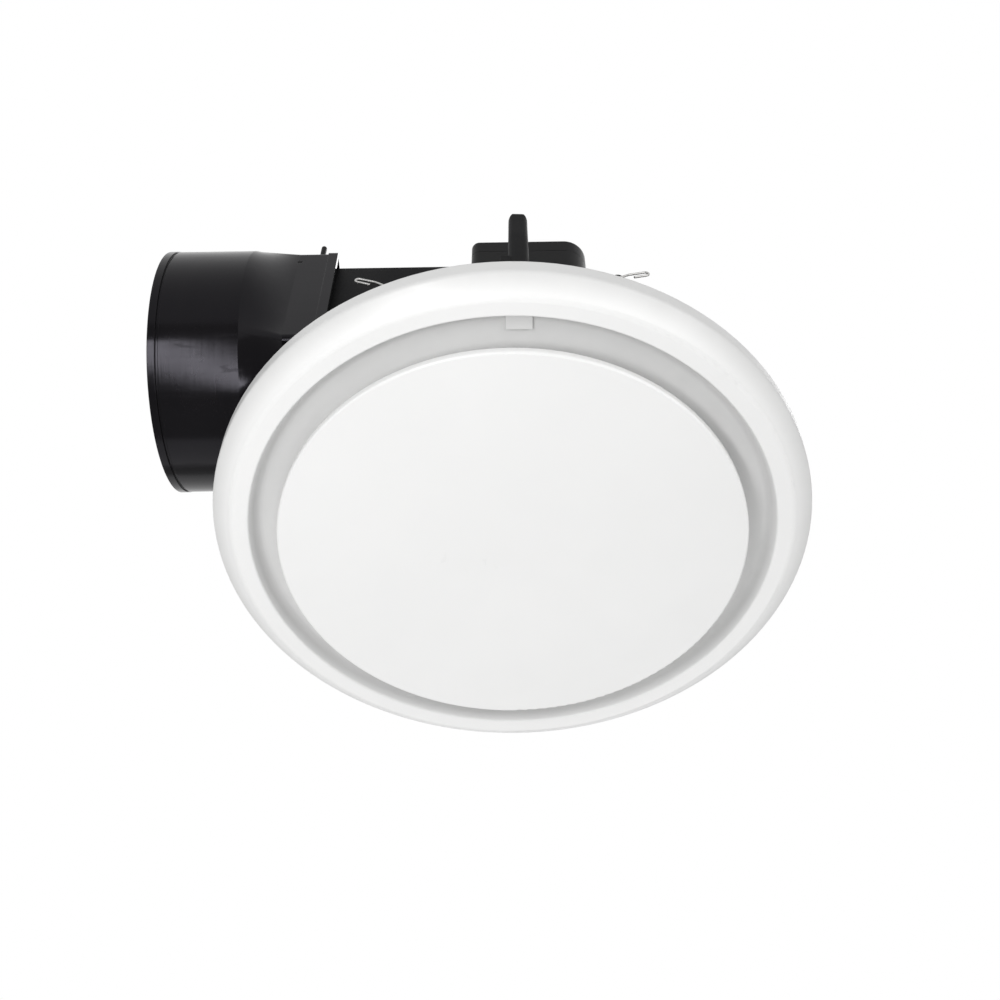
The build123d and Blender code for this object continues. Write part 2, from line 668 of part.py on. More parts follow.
def blade_plan():
    """Plan of one forward-curved blade of even thickness, its root on local X."""
    root = WHEEL_EYE_R + 0.5
    tip = WHEEL_R - 0.3
    middle = (root + tip) / 2
    lean = BLADE_SWEEP / 2
    with BuildSketch() as blade:
        with BuildLine():
            ThreePointArc((root, 0), (middle, -lean), (tip, 0))
            Line((tip, 0), (tip, BLADE_T))
            ThreePointArc((tip, BLADE_T), (middle, BLADE_T - lean), (root, BLADE_T))
            Line((root, BLADE_T), (root, 0))
        make_face()
    return blade.sketch


with BuildPart() as impeller:
    with BuildSketch(Plane.XY.offset(PLATE_BOTTOM)):
        with Locations(FAN_CENTRE):
            Circle(WHEEL_R)
    extrude(amount=WHEEL_PLATE_T)
    with BuildSketch(Plane.XY.offset(WHEEL_TOP - HUB_H)):
        with Locations(FAN_CENTRE):
            Circle(HUB_R)
    extrude(amount=HUB_H)
    with BuildSketch(Plane.XY.offset(WHEEL_TOP - HUB_H)):
        with Locations(FAN_CENTRE):
            Circle(BUSH_R)
    extrude(amount=HUB_H, mode=Mode.SUBTRACT)
save(impeller.part, "impeller")

with BuildPart() as impeller_blades:
    with BuildSketch(Plane.XY.offset(WHEEL_BOTTOM)):
        with Locations(FAN_CENTRE):
            Circle(WHEEL_R)
            Circle(WHEEL_EYE_R, mode=Mode.SUBTRACT)
    extrude(amount=WHEEL_PLATE_T)
    blade_bottom = WHEEL_BOTTOM + WHEEL_PLATE_T / 2
    with BuildSketch(Plane.XY.offset(blade_bottom)):
        with Locations(FAN_CENTRE):
            with PolarLocations(0, BLADE_COUNT):
                add(blade_plan())
    extrude(amount=PLATE_BOTTOM - blade_bottom)
save(impeller_blades.part, "impeller_blades")

BUSH_BOTTOM = WHEEL_TOP - HUB_H
save(ring_at(SHAFT_R + SEAT_GAP, BUSH_R - SEAT_GAP, BUSH_BOTTOM, HUB_H, FAN_CENTRE), "impeller_bush")

with BuildPart() as impeller_nut:
    with BuildSketch(Plane.XY.offset(BUSH_BOTTOM - 4.5)):
        with Locations(FAN_CENTRE):
            RegularPolygon(7.5, 6)
            Circle(SHAFT_R + SEAT_GAP, mode=Mode.SUBTRACT)
    extrude(amount=4.5)
save(impeller_nut.part, "impeller_nut")

# Motor: two bells, stator, windings, rotor, shaft and bushes

SHAFT_BOTTOM = BUSH_BOTTOM - 6
LOWER_BUSH_Z = MOTOR_BOTTOM - 2
UPPER_BUSH_Z = MOTOR_TOP - MOTOR_WALL - UPPER_BEARING_H
SHAFT_TOP = UPPER_BUSH_Z + UPPER_BEARING_H - 1
BELL_SCREWS = circle_places(MOTOR_R + SCREW_HEAD_R + RUN_GAP, MOUNT_COUNT, 0, FAN_CENTRE)

with BuildPart() as motor_bell_lower:
    with BuildSketch(Plane.XY.offset(MOTOR_BOTTOM)):
        with Locations(FAN_CENTRE):
            Circle(MOTOR_R)
        with Locations(*MOUNT_PLACES):
            Circle(MOUNT_R)
    extrude(amount=MOTOR_WALL)
    with BuildSketch(Plane.XY.offset(MOTOR_BOTTOM)):
        with Locations(*BELL_SCREWS):
            Circle(EAR_R)
        with Locations(FAN_CENTRE):
            Circle(MOTOR_R)
            Circle(MOTOR_R - MOTOR_WALL, mode=Mode.SUBTRACT)
    extrude(amount=MOTOR_SPLIT)
    with BuildSketch(Plane.XY.offset(LOWER_BUSH_Z)):
        with Locations(FAN_CENTRE):
            Circle(MOTOR_BOSS_R)
    extrude(amount=BEARING_H)
    with BuildSketch(Plane.XY.offset(LOWER_BUSH_Z)):
        with Locations(FAN_CENTRE):
            Circle(BEARING_R)
    extrude(amount=BEARING_H, mode=Mode.SUBTRACT)
    with BuildSketch(Plane.XY.offset(MOTOR_BOTTOM)):
        with Locations(*MOUNT_PLACES, *BELL_SCREWS):
            Circle(SCREW_R + TURN_GAP)
    extrude(amount=MOTOR_SPLIT, mode=Mode.SUBTRACT)
save(motor_bell_lower.part, "motor_bell_lower")

with BuildPart() as motor_bell_upper:
    split = MOTOR_BOTTOM + MOTOR_SPLIT
    with BuildSketch(Plane.XY.offset(split)):
        with Locations(FAN_CENTRE):
            Circle(MOTOR_R)
    extrude(amount=MOTOR_TOP - split)
    fillet(motor_bell_upper.edges().filter_by(GeomType.CIRCLE).sort_by(Axis.Z)[-1], 4)
    with BuildSketch(Plane.XY.offset(split)):
        with Locations(FAN_CENTRE):
            Circle(MOTOR_R - MOTOR_WALL)
    extrude(amount=MOTOR_TOP - split - MOTOR_WALL, mode=Mode.SUBTRACT)
    with BuildSketch(Plane.XY.offset(split)):
        with Locations(*BELL_SCREWS):
            Circle(EAR_R)
        with Locations(FAN_CENTRE):
            Circle(MOTOR_R - 1, mode=Mode.SUBTRACT)
    extrude(amount=4)
    with BuildSketch(Plane.XY.offset(UPPER_BUSH_Z)):
        with Locations(FAN_CENTRE):
            Circle(MOTOR_BOSS_R)
            Circle(BEARING_R, mode=Mode.SUBTRACT)
    extrude(amount=MOTOR_TOP - MOTOR_WALL - UPPER_BUSH_Z)
    with BuildSketch(Plane.XY.offset(MOTOR_TOP)):
        with Locations(FAN_CENTRE):
            with PolarLocations(28, 8):
                SlotOverall(16, 4)
    extrude(amount=-MOTOR_WALL, mode=Mode.SUBTRACT)
    with BuildSketch(Plane.XY.offset(split)):
        with Locations(*BELL_SCREWS):
            Circle(SCREW_R + TURN_GAP)
    extrude(amount=4, mode=Mode.SUBTRACT)
save(motor_bell_upper.part, "motor_bell_upper")
save(screws(BELL_SCREWS, MOTOR_BOTTOM + MOTOR_SPLIT + 4, MOTOR_SPLIT), "motor_screws")

save(ring_at(SHAFT_R + TURN_GAP, BEARING_R - SEAT_GAP, LOWER_BUSH_Z, BEARING_H, FAN_CENTRE), "bearing_lower")
save(ring_at(SHAFT_R + TURN_GAP, BEARING_R - SEAT_GAP, UPPER_BUSH_Z, UPPER_BEARING_H, FAN_CENTRE), "bearing_upper")
save(ring_at(0, SHAFT_R, SHAFT_BOTTOM, SHAFT_TOP - SHAFT_BOTTOM, FAN_CENTRE), "shaft")
save(
    ring_at(SHAFT_R + SEAT_GAP, STATOR_BORE_R - SLIDE_GAP, STATOR_BOTTOM - 0.5, STATOR_H + 1, FAN_CENTRE),
    "rotor",
)
save(
    ring_at(STATOR_BORE_R, MOTOR_R - MOTOR_WALL - SEAT_GAP, STATOR_BOTTOM, STATOR_H, FAN_CENTRE),
    "stator_core",
)

with BuildPart() as stator_windings:
    for level in (STATOR_BOTTOM - WINDING_H, STATOR_BOTTOM + STATOR_H):
        with BuildSketch(Plane.XY.offset(level)):
            with Locations(FAN_CENTRE):
                Circle(MOTOR_R - MOTOR_WALL - 4)
                Circle(STATOR_BORE_R + 2, mode=Mode.SUBTRACT)
        extrude(amount=WINDING_H)
save(stator_windings.part, "stator_windings")

with BuildPart() as motor_mounts:
    with BuildSketch(Plane.XY.offset(COVER_TOP)):
        with Locations(*MOUNT_PLACES):
            Circle(MOUNT_R)
            Circle(SCREW_R + TURN_GAP, mode=Mode.SUBTRACT)
    extrude(amount=MOTOR_LIFT)
save(motor_mounts.part, "motor_mounts")
save(
    screws(MOUNT_PLACES, MOTOR_BOTTOM + MOTOR_WALL, MOTOR_WALL + MOTOR_LIFT + COVER_T + 2),
    "mount_screws",
)

# Terminal box and what it holds

LID_SCREWS = [(BOX_X0 + 8, BOX_Y0 + 8), (BOX_X1 - 8, BOX_Y1 - 8)]
GLAND_Y = BOX_Y1 - 24.5
GLAND_Z = COVER_TOP + BOX_BASE_H / 2 + 0.5


def box_plan(inset):
    """Plan of the terminal box, drawn in by inset, with its one large corner."""
    x0, x1 = BOX_X0 + inset, BOX_X1 - inset
    y0, y1 = BOX_Y0 + inset, BOX_Y1 - inset
    small = BOX_CORNER_R - inset
    with BuildSketch() as plan:
        with BuildLine():
            FilletPolyline(
                (x0, y0),
                (x1, y0),
                (x1, y1),
                (x0, y1),
                radius=[small, BOX_BIG_CORNER_R - inset, small, small],
                close=True,
            )
        make_face()
    return plan.sketch


with BuildPart() as terminal_box:
    with BuildSketch(Plane.XY.offset(COVER_TOP)):
        add(box_plan(0))
    extrude(amount=BOX_BASE_H)
    with BuildSketch(Plane.XY.offset(COVER_TOP + BOX_WALL)):
        add(box_plan(BOX_WALL))
    extrude(amount=BOX_BASE_H, mode=Mode.SUBTRACT)
    with BuildSketch(Plane.XY.offset(COVER_TOP)):
        with Locations(*LID_SCREWS):
            Circle(EAR_R)
    extrude(amount=BOX_BASE_H - BOX_WALL)
    with BuildSketch(Plane.XY.offset(COVER_TOP)):
        with Locations(*LID_SCREWS):
            Circle(SCREW_R + SEAT_GAP)
    extrude(amount=BOX_BASE_H, mode=Mode.SUBTRACT)
    with BuildSketch(Plane.XY.offset(COVER_TOP)):
        with Locations(*BOX_FIXINGS):
            Circle(SCREW_R + TURN_GAP)
    extrude(amount=BOX_WALL, mode=Mode.SUBTRACT)
    with BuildSketch(Plane.YZ.offset(BOX_X1)):
        with Locations((GLAND_Y, GLAND_Z)):
            Circle(GLAND_THREAD_R + SEAT_GAP)
    extrude(amount=-BOX_WALL, mode=Mode.SUBTRACT)
save(terminal_box.part, "terminal_box")

with BuildPart() as terminal_box_lid:
    with BuildSketch(Plane.XY.offset(BOX_BASE_TOP)):
        add(box_plan(0))
    extrude(amount=BOX_LID_H)
    fillet(terminal_box_lid.faces().sort_by(Axis.Z)[-1].edges(), 2.0)
    chamfer(terminal_box_lid.faces().sort_by(Axis.Z)[0].edges(), 0.5)
    with BuildSketch(Plane.XY.offset(BOX_BASE_TOP)):
        add(box_plan(BOX_WALL))
    extrude(amount=BOX_LID_H - BOX_WALL, mode=Mode.SUBTRACT)
    with BuildSketch(Plane.XY.offset(BOX_BASE_TOP - BOX_WALL)):
        with Locations(*LID_SCREWS):
            Circle(EAR_R)
    extrude(amount=BOX_LID_H)
    with BuildSketch(Plane.XY.offset(BOX_BASE_TOP - BOX_WALL)):
        with Locations(*LID_SCREWS):
            Circle(SCREW_R + TURN_GAP)
    extrude(amount=BOX_LID_H + BOX_WALL, mode=Mode.SUBTRACT)
save(terminal_box_lid.part, "terminal_box_lid")
save(screws(LID_SCREWS, BOX_TOP, BOX_LID_H + BOX_WALL + 8), "box_lid_screws")
save(screws(BOX_FIXINGS, COVER_TOP + BOX_WALL, BOX_WALL + COVER_T + 2), "box_fixing_screws")

BLOCK_X = BOX_X1 - 24
BLOCK_Y = BOX_Y0 + 13
BLOCK_BOTTOM = COVER_TOP + BOX_WALL
BLOCK_H = 13.0
CAPACITOR_L = 32.0
CAPACITOR_W = 14.0
POLES = [(BLOCK_X - 8, BLOCK_Y), (BLOCK_X, BLOCK_Y), (BLOCK_X + 8, BLOCK_Y)]

with BuildPart() as terminal_block:
    with BuildSketch(Plane.XY.offset(BLOCK_BOTTOM)):
        with Locations((BLOCK_X, BLOCK_Y)):
            Rectangle(25, 14)
    extrude(amount=BLOCK_H)
    with BuildSketch(Plane.XY.offset(BLOCK_BOTTOM + BLOCK_H)):
        with Locations(*POLES):
            Circle(2.5)
    extrude(amount=-6, mode=Mode.SUBTRACT)
    with BuildSketch(Plane.XZ.offset(-BLOCK_Y + 7)):
        with Locations(*[(x, BLOCK_BOTTOM + 4) for x, y in POLES]):
            Circle(2)
    extrude(amount=-14, mode=Mode.SUBTRACT)
save(terminal_block.part, "terminal_block")

with BuildPart() as terminal_screws:
    with BuildSketch(Plane.XY.offset(BLOCK_BOTTOM + BLOCK_H - 6)):
        with Locations(*POLES):
            Circle(2.5 - SEAT_GAP)
    extrude(amount=4)
save(terminal_screws.part, "terminal_screws")

with BuildPart() as capacitor:
    with BuildSketch(Plane.XY.offset(BLOCK_BOTTOM)):
        with Locations((BOX_X0 + BOX_WALL + CAPACITOR_L / 2 + 5, BOX_Y1 - 19.5)):
            RectangleRounded(CAPACITOR_L, CAPACITOR_W, 1.5)
    extrude(amount=20)
    fillet(capacitor.faces().sort_by(Axis.Z)[-1].edges(), 1.0)
save(capacitor.part, "capacitor")

with BuildPart() as cable_gland:
    with BuildSketch(Plane.YZ.offset(BOX_X1)):
        with Locations((GLAND_Y, GLAND_Z)):
            RegularPolygon(GLAND_NUT_R - 1, 6)
    extrude(amount=4)
    with BuildSketch(Plane.YZ.offset(BOX_X1 + 4)):
        with Locations((GLAND_Y, GLAND_Z)):
            Circle(GLAND_THREAD_R)
    extrude(amount=8)
    fillet(cable_gland.faces().sort_by(Axis.X)[-1].edges(), 1.5)
    with BuildSketch(Plane.YZ.offset(BOX_X1)):
        with Locations((GLAND_Y, GLAND_Z)):
            Circle(GLAND_THREAD_R)
    extrude(amount=-BOX_WALL - 3)
    with BuildSketch(Plane.YZ.offset(BOX_X1 - BOX_WALL)):
        with Locations((GLAND_Y, GLAND_Z)):
            Circle(GLAND_THREAD_R + 1)
    extrude(amount=-2.5)
    with BuildSketch(Plane.YZ.offset(BOX_X1 + 12)):
        with Locations((GLAND_Y, GLAND_Z)):
            Circle(GLAND_BORE_R)
    extrude(amount=-12 - BOX_WALL - 3, mode=Mode.SUBTRACT)
save(cable_gland.part, "cable_gland")

# Duct adapter: round spigot, round-to-rectangular transition and collar over the spout


def round_face(x, radius):
    """Circle in eight arcs: short ones at the quadrants, long ones that become the corners."""
    with BuildSketch(Plane.YZ.offset(x)) as face:
        with BuildLine():
            for quarter in (180, 270, 0, 90):
                CenterArc((DUCT_Y, DUCT_Z), radius, quarter - QUADRANT_HALF, 2 * QUADRANT_HALF)
                CenterArc((DUCT_Y, DUCT_Z), radius, quarter + QUADRANT_HALF, 90 - 2 * QUADRANT_HALF)
        make_face()
    return face.sketch


def spout_face(x, out, corner):
    """Rectangle with round corners that clears the spout by out on every side."""
    y0, y1 = SPOUT_Y0 - out, SPOUT_Y1 + out
    z0, z1 = SCROLL_FLOOR - out, COVER_TOP + out
    with BuildSketch(Plane.YZ.offset(x)) as face:
        with BuildLine():
            FilletPolyline((y0, z1), (y0, z0), (y1, z0), (y1, z1), radius=corner, close=True)
        make_face()
    return face.sketch


COLLAR_IN = BEAD_OUT + SLIDE_GAP
COLLAR_OUT = COLLAR_IN + COLLAR_WALL
AXLE_X = SPOUT_END - FLAP_SEAL_T - RUN_GAP - 2 * FLAP_T
AXLE_Z = COVER_BOTTOM - FLAP_AXLE_BELOW
AXLE_HOLE_R = FLAP_AXLE_R + SEAT_GAP
LOCK_PIN_Y = SPOUT_Y0 - COLLAR_IN / 2

with BuildPart() as duct_adapter:
    with BuildSketch(Plane.YZ.offset(DUCT_END)):
        with Locations((DUCT_Y, DUCT_Z)):
            Circle(DUCT_R)
    extrude(amount=DUCT_STRAIGHT)
    with BuildSketch(Plane.YZ.offset(DUCT_END)):
        with Locations((DUCT_Y, DUCT_Z)):
            Circle(DUCT_BEAD_R)
    extrude(amount=DUCT_BEAD_T)
    with BuildSketch(Plane.YZ.offset(DUCT_END + DUCT_BEAD_T)):
        with Locations((DUCT_Y, DUCT_Z)):
            Circle(DUCT_BEAD_R + 1)
            Circle(DUCT_R - DUCT_GROOVE_DEPTH, mode=Mode.SUBTRACT)
    extrude(amount=DUCT_GROOVE_W, mode=Mode.SUBTRACT)
    loft(
        [round_face(DUCT_STRAIGHT_END, DUCT_R), spout_face(COLLAR_START, COLLAR_OUT, COLLAR_CORNER_R)],
        ruled=True,
    )
    extrude(spout_face(COLLAR_START, COLLAR_OUT, COLLAR_CORNER_R), amount=COLLAR_END - COLLAR_START, dir=(1, 0, 0))
    extrude(
        spout_face(COLLAR_BAND_X, COLLAR_OUT + COLLAR_BAND_OUT, COLLAR_CORNER_R),
        amount=COLLAR_END - COLLAR_BAND_X,
        dir=(1, 0, 0),
    )
    with BuildSketch(Plane.YZ.offset(DUCT_END)):
        with Locations((DUCT_Y, DUCT_Z)):
            Circle(DUCT_R - ADAPTER_WALL)
    extrude(amount=DUCT_STRAIGHT, mode=Mode.SUBTRACT)
    loft(
        [
            round_face(DUCT_STRAIGHT_END, DUCT_R - ADAPTER_WALL),
            spout_face(COLLAR_START, COLLAR_IN, COLLAR_CORNER_R - COLLAR_WALL),
        ],
        ruled=True,
        mode=Mode.SUBTRACT,
    )
    extrude(
        spout_face(COLLAR_START, COLLAR_IN, COLLAR_CORNER_R - COLLAR_WALL),
        amount=COLLAR_END - COLLAR_START,
        dir=(1, 0, 0),
        mode=Mode.SUBTRACT,
    )
    with BuildSketch(Plane.YZ.offset(SPOUT_END - SLIDE_GAP)):
        with Locations((DUCT_Y, (SCROLL_FLOOR + COVER_TOP) / 2)):
            Rectangle(SPOUT_W + 2 * COLLAR_IN + 1, SCROLL_H + COVER_T + 2 * COLLAR_IN + 1)
            Rectangle(
                SPOUT_W + 2 * (COLLAR_IN - LEDGE_T),
                SCROLL_H + COVER_T + 2 * (COLLAR_IN - LEDGE_T),
                mode=Mode.SUBTRACT,
            )
    extrude(amount=-LEDGE_W)
    with BuildSketch(Plane.XZ.offset(-SPOUT_Y1 - COLLAR_OUT - 1)):
        with Locations((AXLE_X, AXLE_Z)):
            Circle(AXLE_HOLE_R)
    extrude(amount=SPOUT_W + 2 * COLLAR_OUT + 2, mode=Mode.SUBTRACT)
    with BuildSketch(Plane.XY.offset(COVER_TOP)):
        with Locations((LOCK_PIN_X, LOCK_PIN_Y)):
            Circle(LOCK_PIN_R + SEAT_GAP)
    extrude(amount=COLLAR_OUT + 1, mode=Mode.SUBTRACT)
save(duct_adapter.part, "duct_adapter")

with BuildPart() as adapter_pin:
    pin_top = COVER_TOP + COLLAR_OUT + LOCK_PIN_STAND
    with BuildSketch(Plane.XY.offset(pin_top - LOCK_PIN_LENGTH)):
        with Locations((LOCK_PIN_X, LOCK_PIN_Y)):
            Circle(LOCK_PIN_R)
    extrude(amount=LOCK_PIN_LENGTH)
    fillet(adapter_pin.edges().sort_by(Axis.Z)[-1], 0.9)
save(adapter_pin.part, "adapter_pin")

# Backdraft flap, its axle and the seal it closes on

with BuildPart() as flap_seal:
    outer = spout_face(SPOUT_END, -BODY_WALL + FLAP_SEAL_W, 3.0)
    inner = spout_face(SPOUT_END, -BODY_WALL, FLAP_CORNER_R)
    extrude(outer, amount=FLAP_SEAL_T, dir=(-1, 0, 0))
    extrude(inner, amount=FLAP_SEAL_T, dir=(-1, 0, 0), mode=Mode.SUBTRACT)
save(flap_seal.part, "flap_seal")

with BuildPart() as damper_flap:
    flap_y0 = SPOUT_Y0 + BODY_WALL - FLAP_MARGIN
    flap_y1 = SPOUT_Y1 - BODY_WALL + FLAP_MARGIN
    flap_z0 = SCROLL_FLOOR + BODY_WALL - FLAP_MARGIN
    flap_z1 = AXLE_Z + 0.5
    with BuildSketch(Plane.YZ.offset(AXLE_X + FLAP_T)):
        with BuildLine():
            FilletPolyline(
                (flap_y0, flap_z1),
                (flap_y0, flap_z0),
                (flap_y1, flap_z0),
                (flap_y1, flap_z1),
                radius=[0, FLAP_CORNER_R, FLAP_CORNER_R, 0],
                close=True,
            )
        make_face()
    extrude(amount=FLAP_T)
    with BuildSketch(Plane.XZ.offset(-flap_y1)):
        with Locations((AXLE_X, AXLE_Z)):
            Circle(FLAP_BARREL_R)
    extrude(amount=flap_y1 - flap_y0)
    with BuildSketch(Plane.XZ.offset(-flap_y1)):
        with Locations((AXLE_X, AXLE_Z)):
            Circle(FLAP_AXLE_R + TURN_GAP)
    extrude(amount=flap_y1 - flap_y0, mode=Mode.SUBTRACT)
save(damper_flap.part, "damper_flap")

with BuildPart() as flap_axle:
    axle_y1 = SPOUT_Y1 + COLLAR_OUT
    with BuildSketch(Plane.XZ.offset(-axle_y1)):
        with Locations((AXLE_X, AXLE_Z)):
            Circle(FLAP_AXLE_R)
    extrude(amount=SPOUT_W + 2 * COLLAR_OUT)
save(flap_axle.part, "flap_axle")

# V-springs: coil and pin on the fascia, two hooked arms, and the slotted bracket on the deck


def arm_part(side, hand):
    """One arm of a V-spring. The wire wraps the coil's end, runs out straight and ends in a hook."""
    facing = 1 if side == 0 else -1
    plane = Plane(
        origin=(facing * SPRING_X, facing * (-SPRING_Y - hand * ARM_OFFSET), SPRING_Z),
        x_dir=(facing * hand, 0, 0),
        z_dir=(0, -facing * hand, 0),
    )
    rise = math.radians(90 - ARM_ANGLE)
    end_rise = math.radians(ARM_END_RISE)
    sweep_turn = math.radians(ARM_SWEEP)
    lean = math.radians(ARM_ANGLE)
    leave = plane.from_local_coords(Vector(SPRING_R * math.cos(lean), -SPRING_R * math.sin(lean), 0))
    ahead = plane.x_dir
    across = Vector(0, facing * hand, 0)
    level = ahead * math.cos(sweep_turn) + across * math.sin(sweep_turn)
    first = ahead * math.cos(rise) + Vector(0, 0, math.sin(rise))
    second = level * math.cos(rise) + Vector(0, 0, math.sin(rise))
    start = leave + (first + second) * ARM_EASE
    arm_plane = Plane(origin=start, x_dir=level, z_dir=level.cross(Vector(0, 0, 1)))
    along = (math.cos(rise), math.sin(rise))
    run_end = (ARM_LENGTH * along[0], ARM_LENGTH * along[1])
    bend_at = (run_end[0] + ARM_BEND_R * along[1], run_end[1] - ARM_BEND_R * along[0])
    end_along = (math.cos(end_rise), math.sin(end_rise))
    bend_end = (bend_at[0] - ARM_BEND_R * end_along[1], bend_at[1] + ARM_BEND_R * end_along[0])
    tip = (bend_end[0] + ARM_END_RUN * end_along[0], bend_end[1] + ARM_END_RUN * end_along[1])
    hook_at = (tip[0] + HOOK_R * end_along[1], tip[1] - HOOK_R * end_along[0])
    under = (hook_at[0] + HOOK_R * end_along[1], hook_at[1] - HOOK_R * end_along[0])
    back = (under[0] - HOOK_RUN * end_along[0], under[1] - HOOK_RUN * end_along[1])
    top_turn = 90 + math.degrees(rise)
    end_turn = 90 + math.degrees(end_rise)
    with BuildPart() as arm:
        with BuildLine(plane) as wrap_line:
            wrap = CenterArc((0, 0), SPRING_R, -ARM_ANGLE - ARM_WRAP, ARM_WRAP)
        with BuildLine() as ease_line:
            TangentArc(leave, start, tangent=first)
        with BuildLine(arm_plane) as run_line:
            Line((0, 0), run_end)
            CenterArc(bend_at, ARM_BEND_R, top_turn, end_turn - top_turn)
            Line(bend_end, tip)
            CenterArc(hook_at, HOOK_R, end_turn, -180)
            Line(under, back)
        edges = wrap_line.edges() + ease_line.edges() + run_line.edges()
        wire = Wire(edges)
        with BuildSketch(Plane(origin=wrap @ 0, z_dir=wrap % 0)):
            Circle(WIRE_R)
        sweep(path=wire)
    return arm.part


def coil_points():
    """Points and headings of the coil's wire, a half turn apart."""
    total = 360 * SPRING_TURNS + 180 - 2 * ARM_ANGLE
    halves = 2 * SPRING_TURNS + 1
    climb = 2 * COIL_HALF / math.radians(total)
    rows = []
    for i in range(halves + 1):
        turned = math.radians(total * i / halves)
        angle = math.radians(-ARM_ANGLE) - turned
        point = Vector(SPRING_R * math.cos(angle), COIL_HALF - climb * turned, SPRING_R * math.sin(angle))
        heading = Vector(SPRING_R * math.sin(angle), -climb, -SPRING_R * math.cos(angle)).normalized()
        rows.append((point, heading))
    return rows


def coil_part(side):
    """Coil of a V-spring: one wire on pairs of arcs, its axis along Y."""
    facing = 1 if side == 0 else -1
    home = Vector(facing * SPRING_X, -facing * SPRING_Y, SPRING_Z)
    rows = [
        (Vector(facing * p.X, -facing * p.Y, p.Z) + home, Vector(facing * t.X, -facing * t.Y, t.Z))
        for p, t in coil_points()
    ]
    with BuildPart() as coil:
        with BuildLine() as path:
            for (p, t), (q, u) in zip(rows, rows[1:]):
                gap = q - p
                both = t + u
                a = both.dot(both) - 4
                b = -2 * gap.dot(both)
                c = gap.dot(gap)
                reach = (-b - math.sqrt(b * b - 4 * a * c)) / (2 * a)
                meet = (p + t * reach + q - u * reach) * 0.5
                chord = q - u * reach - p - t * reach
                TangentArc(p, meet, tangent=t)
                TangentArc(meet, q, tangent=chord.normalized())
        wire = path.wires()[0]
        with BuildSketch(Plane(origin=rows[0][0], z_dir=rows[0][1])):
            Circle(WIRE_R)
        sweep(path=wire)
    return coil.part


def coil_gap():
    """Least distance between two turns of the coil's wire, measured on points of its centre line."""
    climb = 2 * COIL_HALF / math.radians(360 * SPRING_TURNS + 180 - 2 * ARM_ANGLE)
    steps = 90
    least = 1e9
    for i in range(steps * SPRING_TURNS):
        for j in range(i + steps // 2, steps * SPRING_TURNS):
            turned = math.radians(360 * (j - i) / steps)
            across = 2 * SPRING_R * math.sin(turned / 2)
            least = min(least, math.hypot(across, climb * turned))
    return least - 2 * WIRE_R


def bracket_part(side):
    """Slotted strap over the V-spring's arms on two legs that stand on the deck."""
    bottom = STRAP_Z - STRAP_WALL / 2
    with BuildPart() as bracket:
        with BuildSketch(side_plane(side, bottom)):
            with Locations((SPRING_X, -SPRING_Y)):
                RectangleRounded(2 * STRAP_HALF, STRAP_W, 4.0)
                RectangleRounded(2 * SLOT_HALF, SLOT_W, SLOT_CORNER_R, mode=Mode.SUBTRACT)
        extrude(amount=STRAP_WALL)
        for hand in (-1, 1):
            leg_x = SPRING_X + hand * (STRAP_HALF - STRAP_WALL / 2)
            with BuildSketch(side_plane(side, DECK_TOP)):
                with Locations((leg_x, FOOT_HOLE_Y)):
                    Rectangle(STRAP_WALL, LEG_W)
            extrude(amount=STRAP_Z - DECK_TOP)
            foot_x = SPRING_X + hand * (STRAP_HALF - (STRAP_WALL + FOOT_LENGTH) / 2)
            with BuildSketch(side_plane(side, DECK_TOP)):
                with Locations((foot_x, FOOT_HOLE_Y)):
                    Rectangle(STRAP_WALL + FOOT_LENGTH, LEG_W)
                with Locations((SPRING_X + hand * FOOT_HOLE_X, FOOT_HOLE_Y)):
                    Circle(SCREW_R + TURN_GAP, mode=Mode.SUBTRACT)
            extrude(amount=STRAP_WALL)
    return bracket.part


def pin_part(side):
    """Pin through the two plates of the spring seat."""
    facing = 1 if side == 0 else -1
    half = EAR_PLATE_IN + EAR_PLATE_T + 1
    start = Plane(
        origin=(facing * SPRING_X, facing * (-SPRING_Y + half), SPRING_Z),
        x_dir=(facing, 0, 0),
        z_dir=(0, -facing, 0),
    )
    with BuildPart() as pin:
        with BuildSketch(start):
            Circle(SPRING_PIN_R)
        extrude(amount=2 * half)
    return pin.part


foot_places = []
for side, name in ((0, "near"), (1, "far")):
    facing = 1 if side == 0 else -1
    save(coil_part(side), "spring_coil_" + name)
    save(pin_part(side), "spring_pin_" + name)
    save(arm_part(side, 1), "spring_arm_" + name + "_right")
    save(arm_part(side, -1), "spring_arm_" + name + "_left")
    save(bracket_part(side), "spring_bracket_" + name)
    for hand in (-1, 1):
        foot_places.append((facing * (SPRING_X + hand * FOOT_HOLE_X), facing * FOOT_HOLE_Y))
save(screws(foot_places, DECK_TOP + STRAP_WALL, STRAP_WALL + 7), "bracket_screws")

# Ceiling clamps: long screw, nut and swinging dog in each tower

with BuildPart() as clamp_screws:
    for tower in range(TOWER_COUNT):
        head_bottom = FLANGE_BOTTOM + SLIDE_GAP
        with BuildSketch(tower_plane(tower, head_bottom)):
            with Locations((TOWER_R, 0)):
                Circle(CLAMP_HEAD_R)
        extrude(amount=CLAMP_HEAD_H)
        with BuildSketch(tower_plane(tower, head_bottom)):
            with Locations((TOWER_R, 0)):
                Circle(CLAMP_SCREW_R)
        extrude(amount=CLAMP_SCREW_TOP - head_bottom)
        with BuildSketch(tower_plane(tower, head_bottom)):
            with Locations((TOWER_R, 0)):
                Rectangle(4, SCREW_SLOT_W)
                Rectangle(SCREW_SLOT_W, 4)
        extrude(amount=SCREW_SLOT_DEPTH, mode=Mode.SUBTRACT)
save(clamp_screws.part, "clamp_screws")

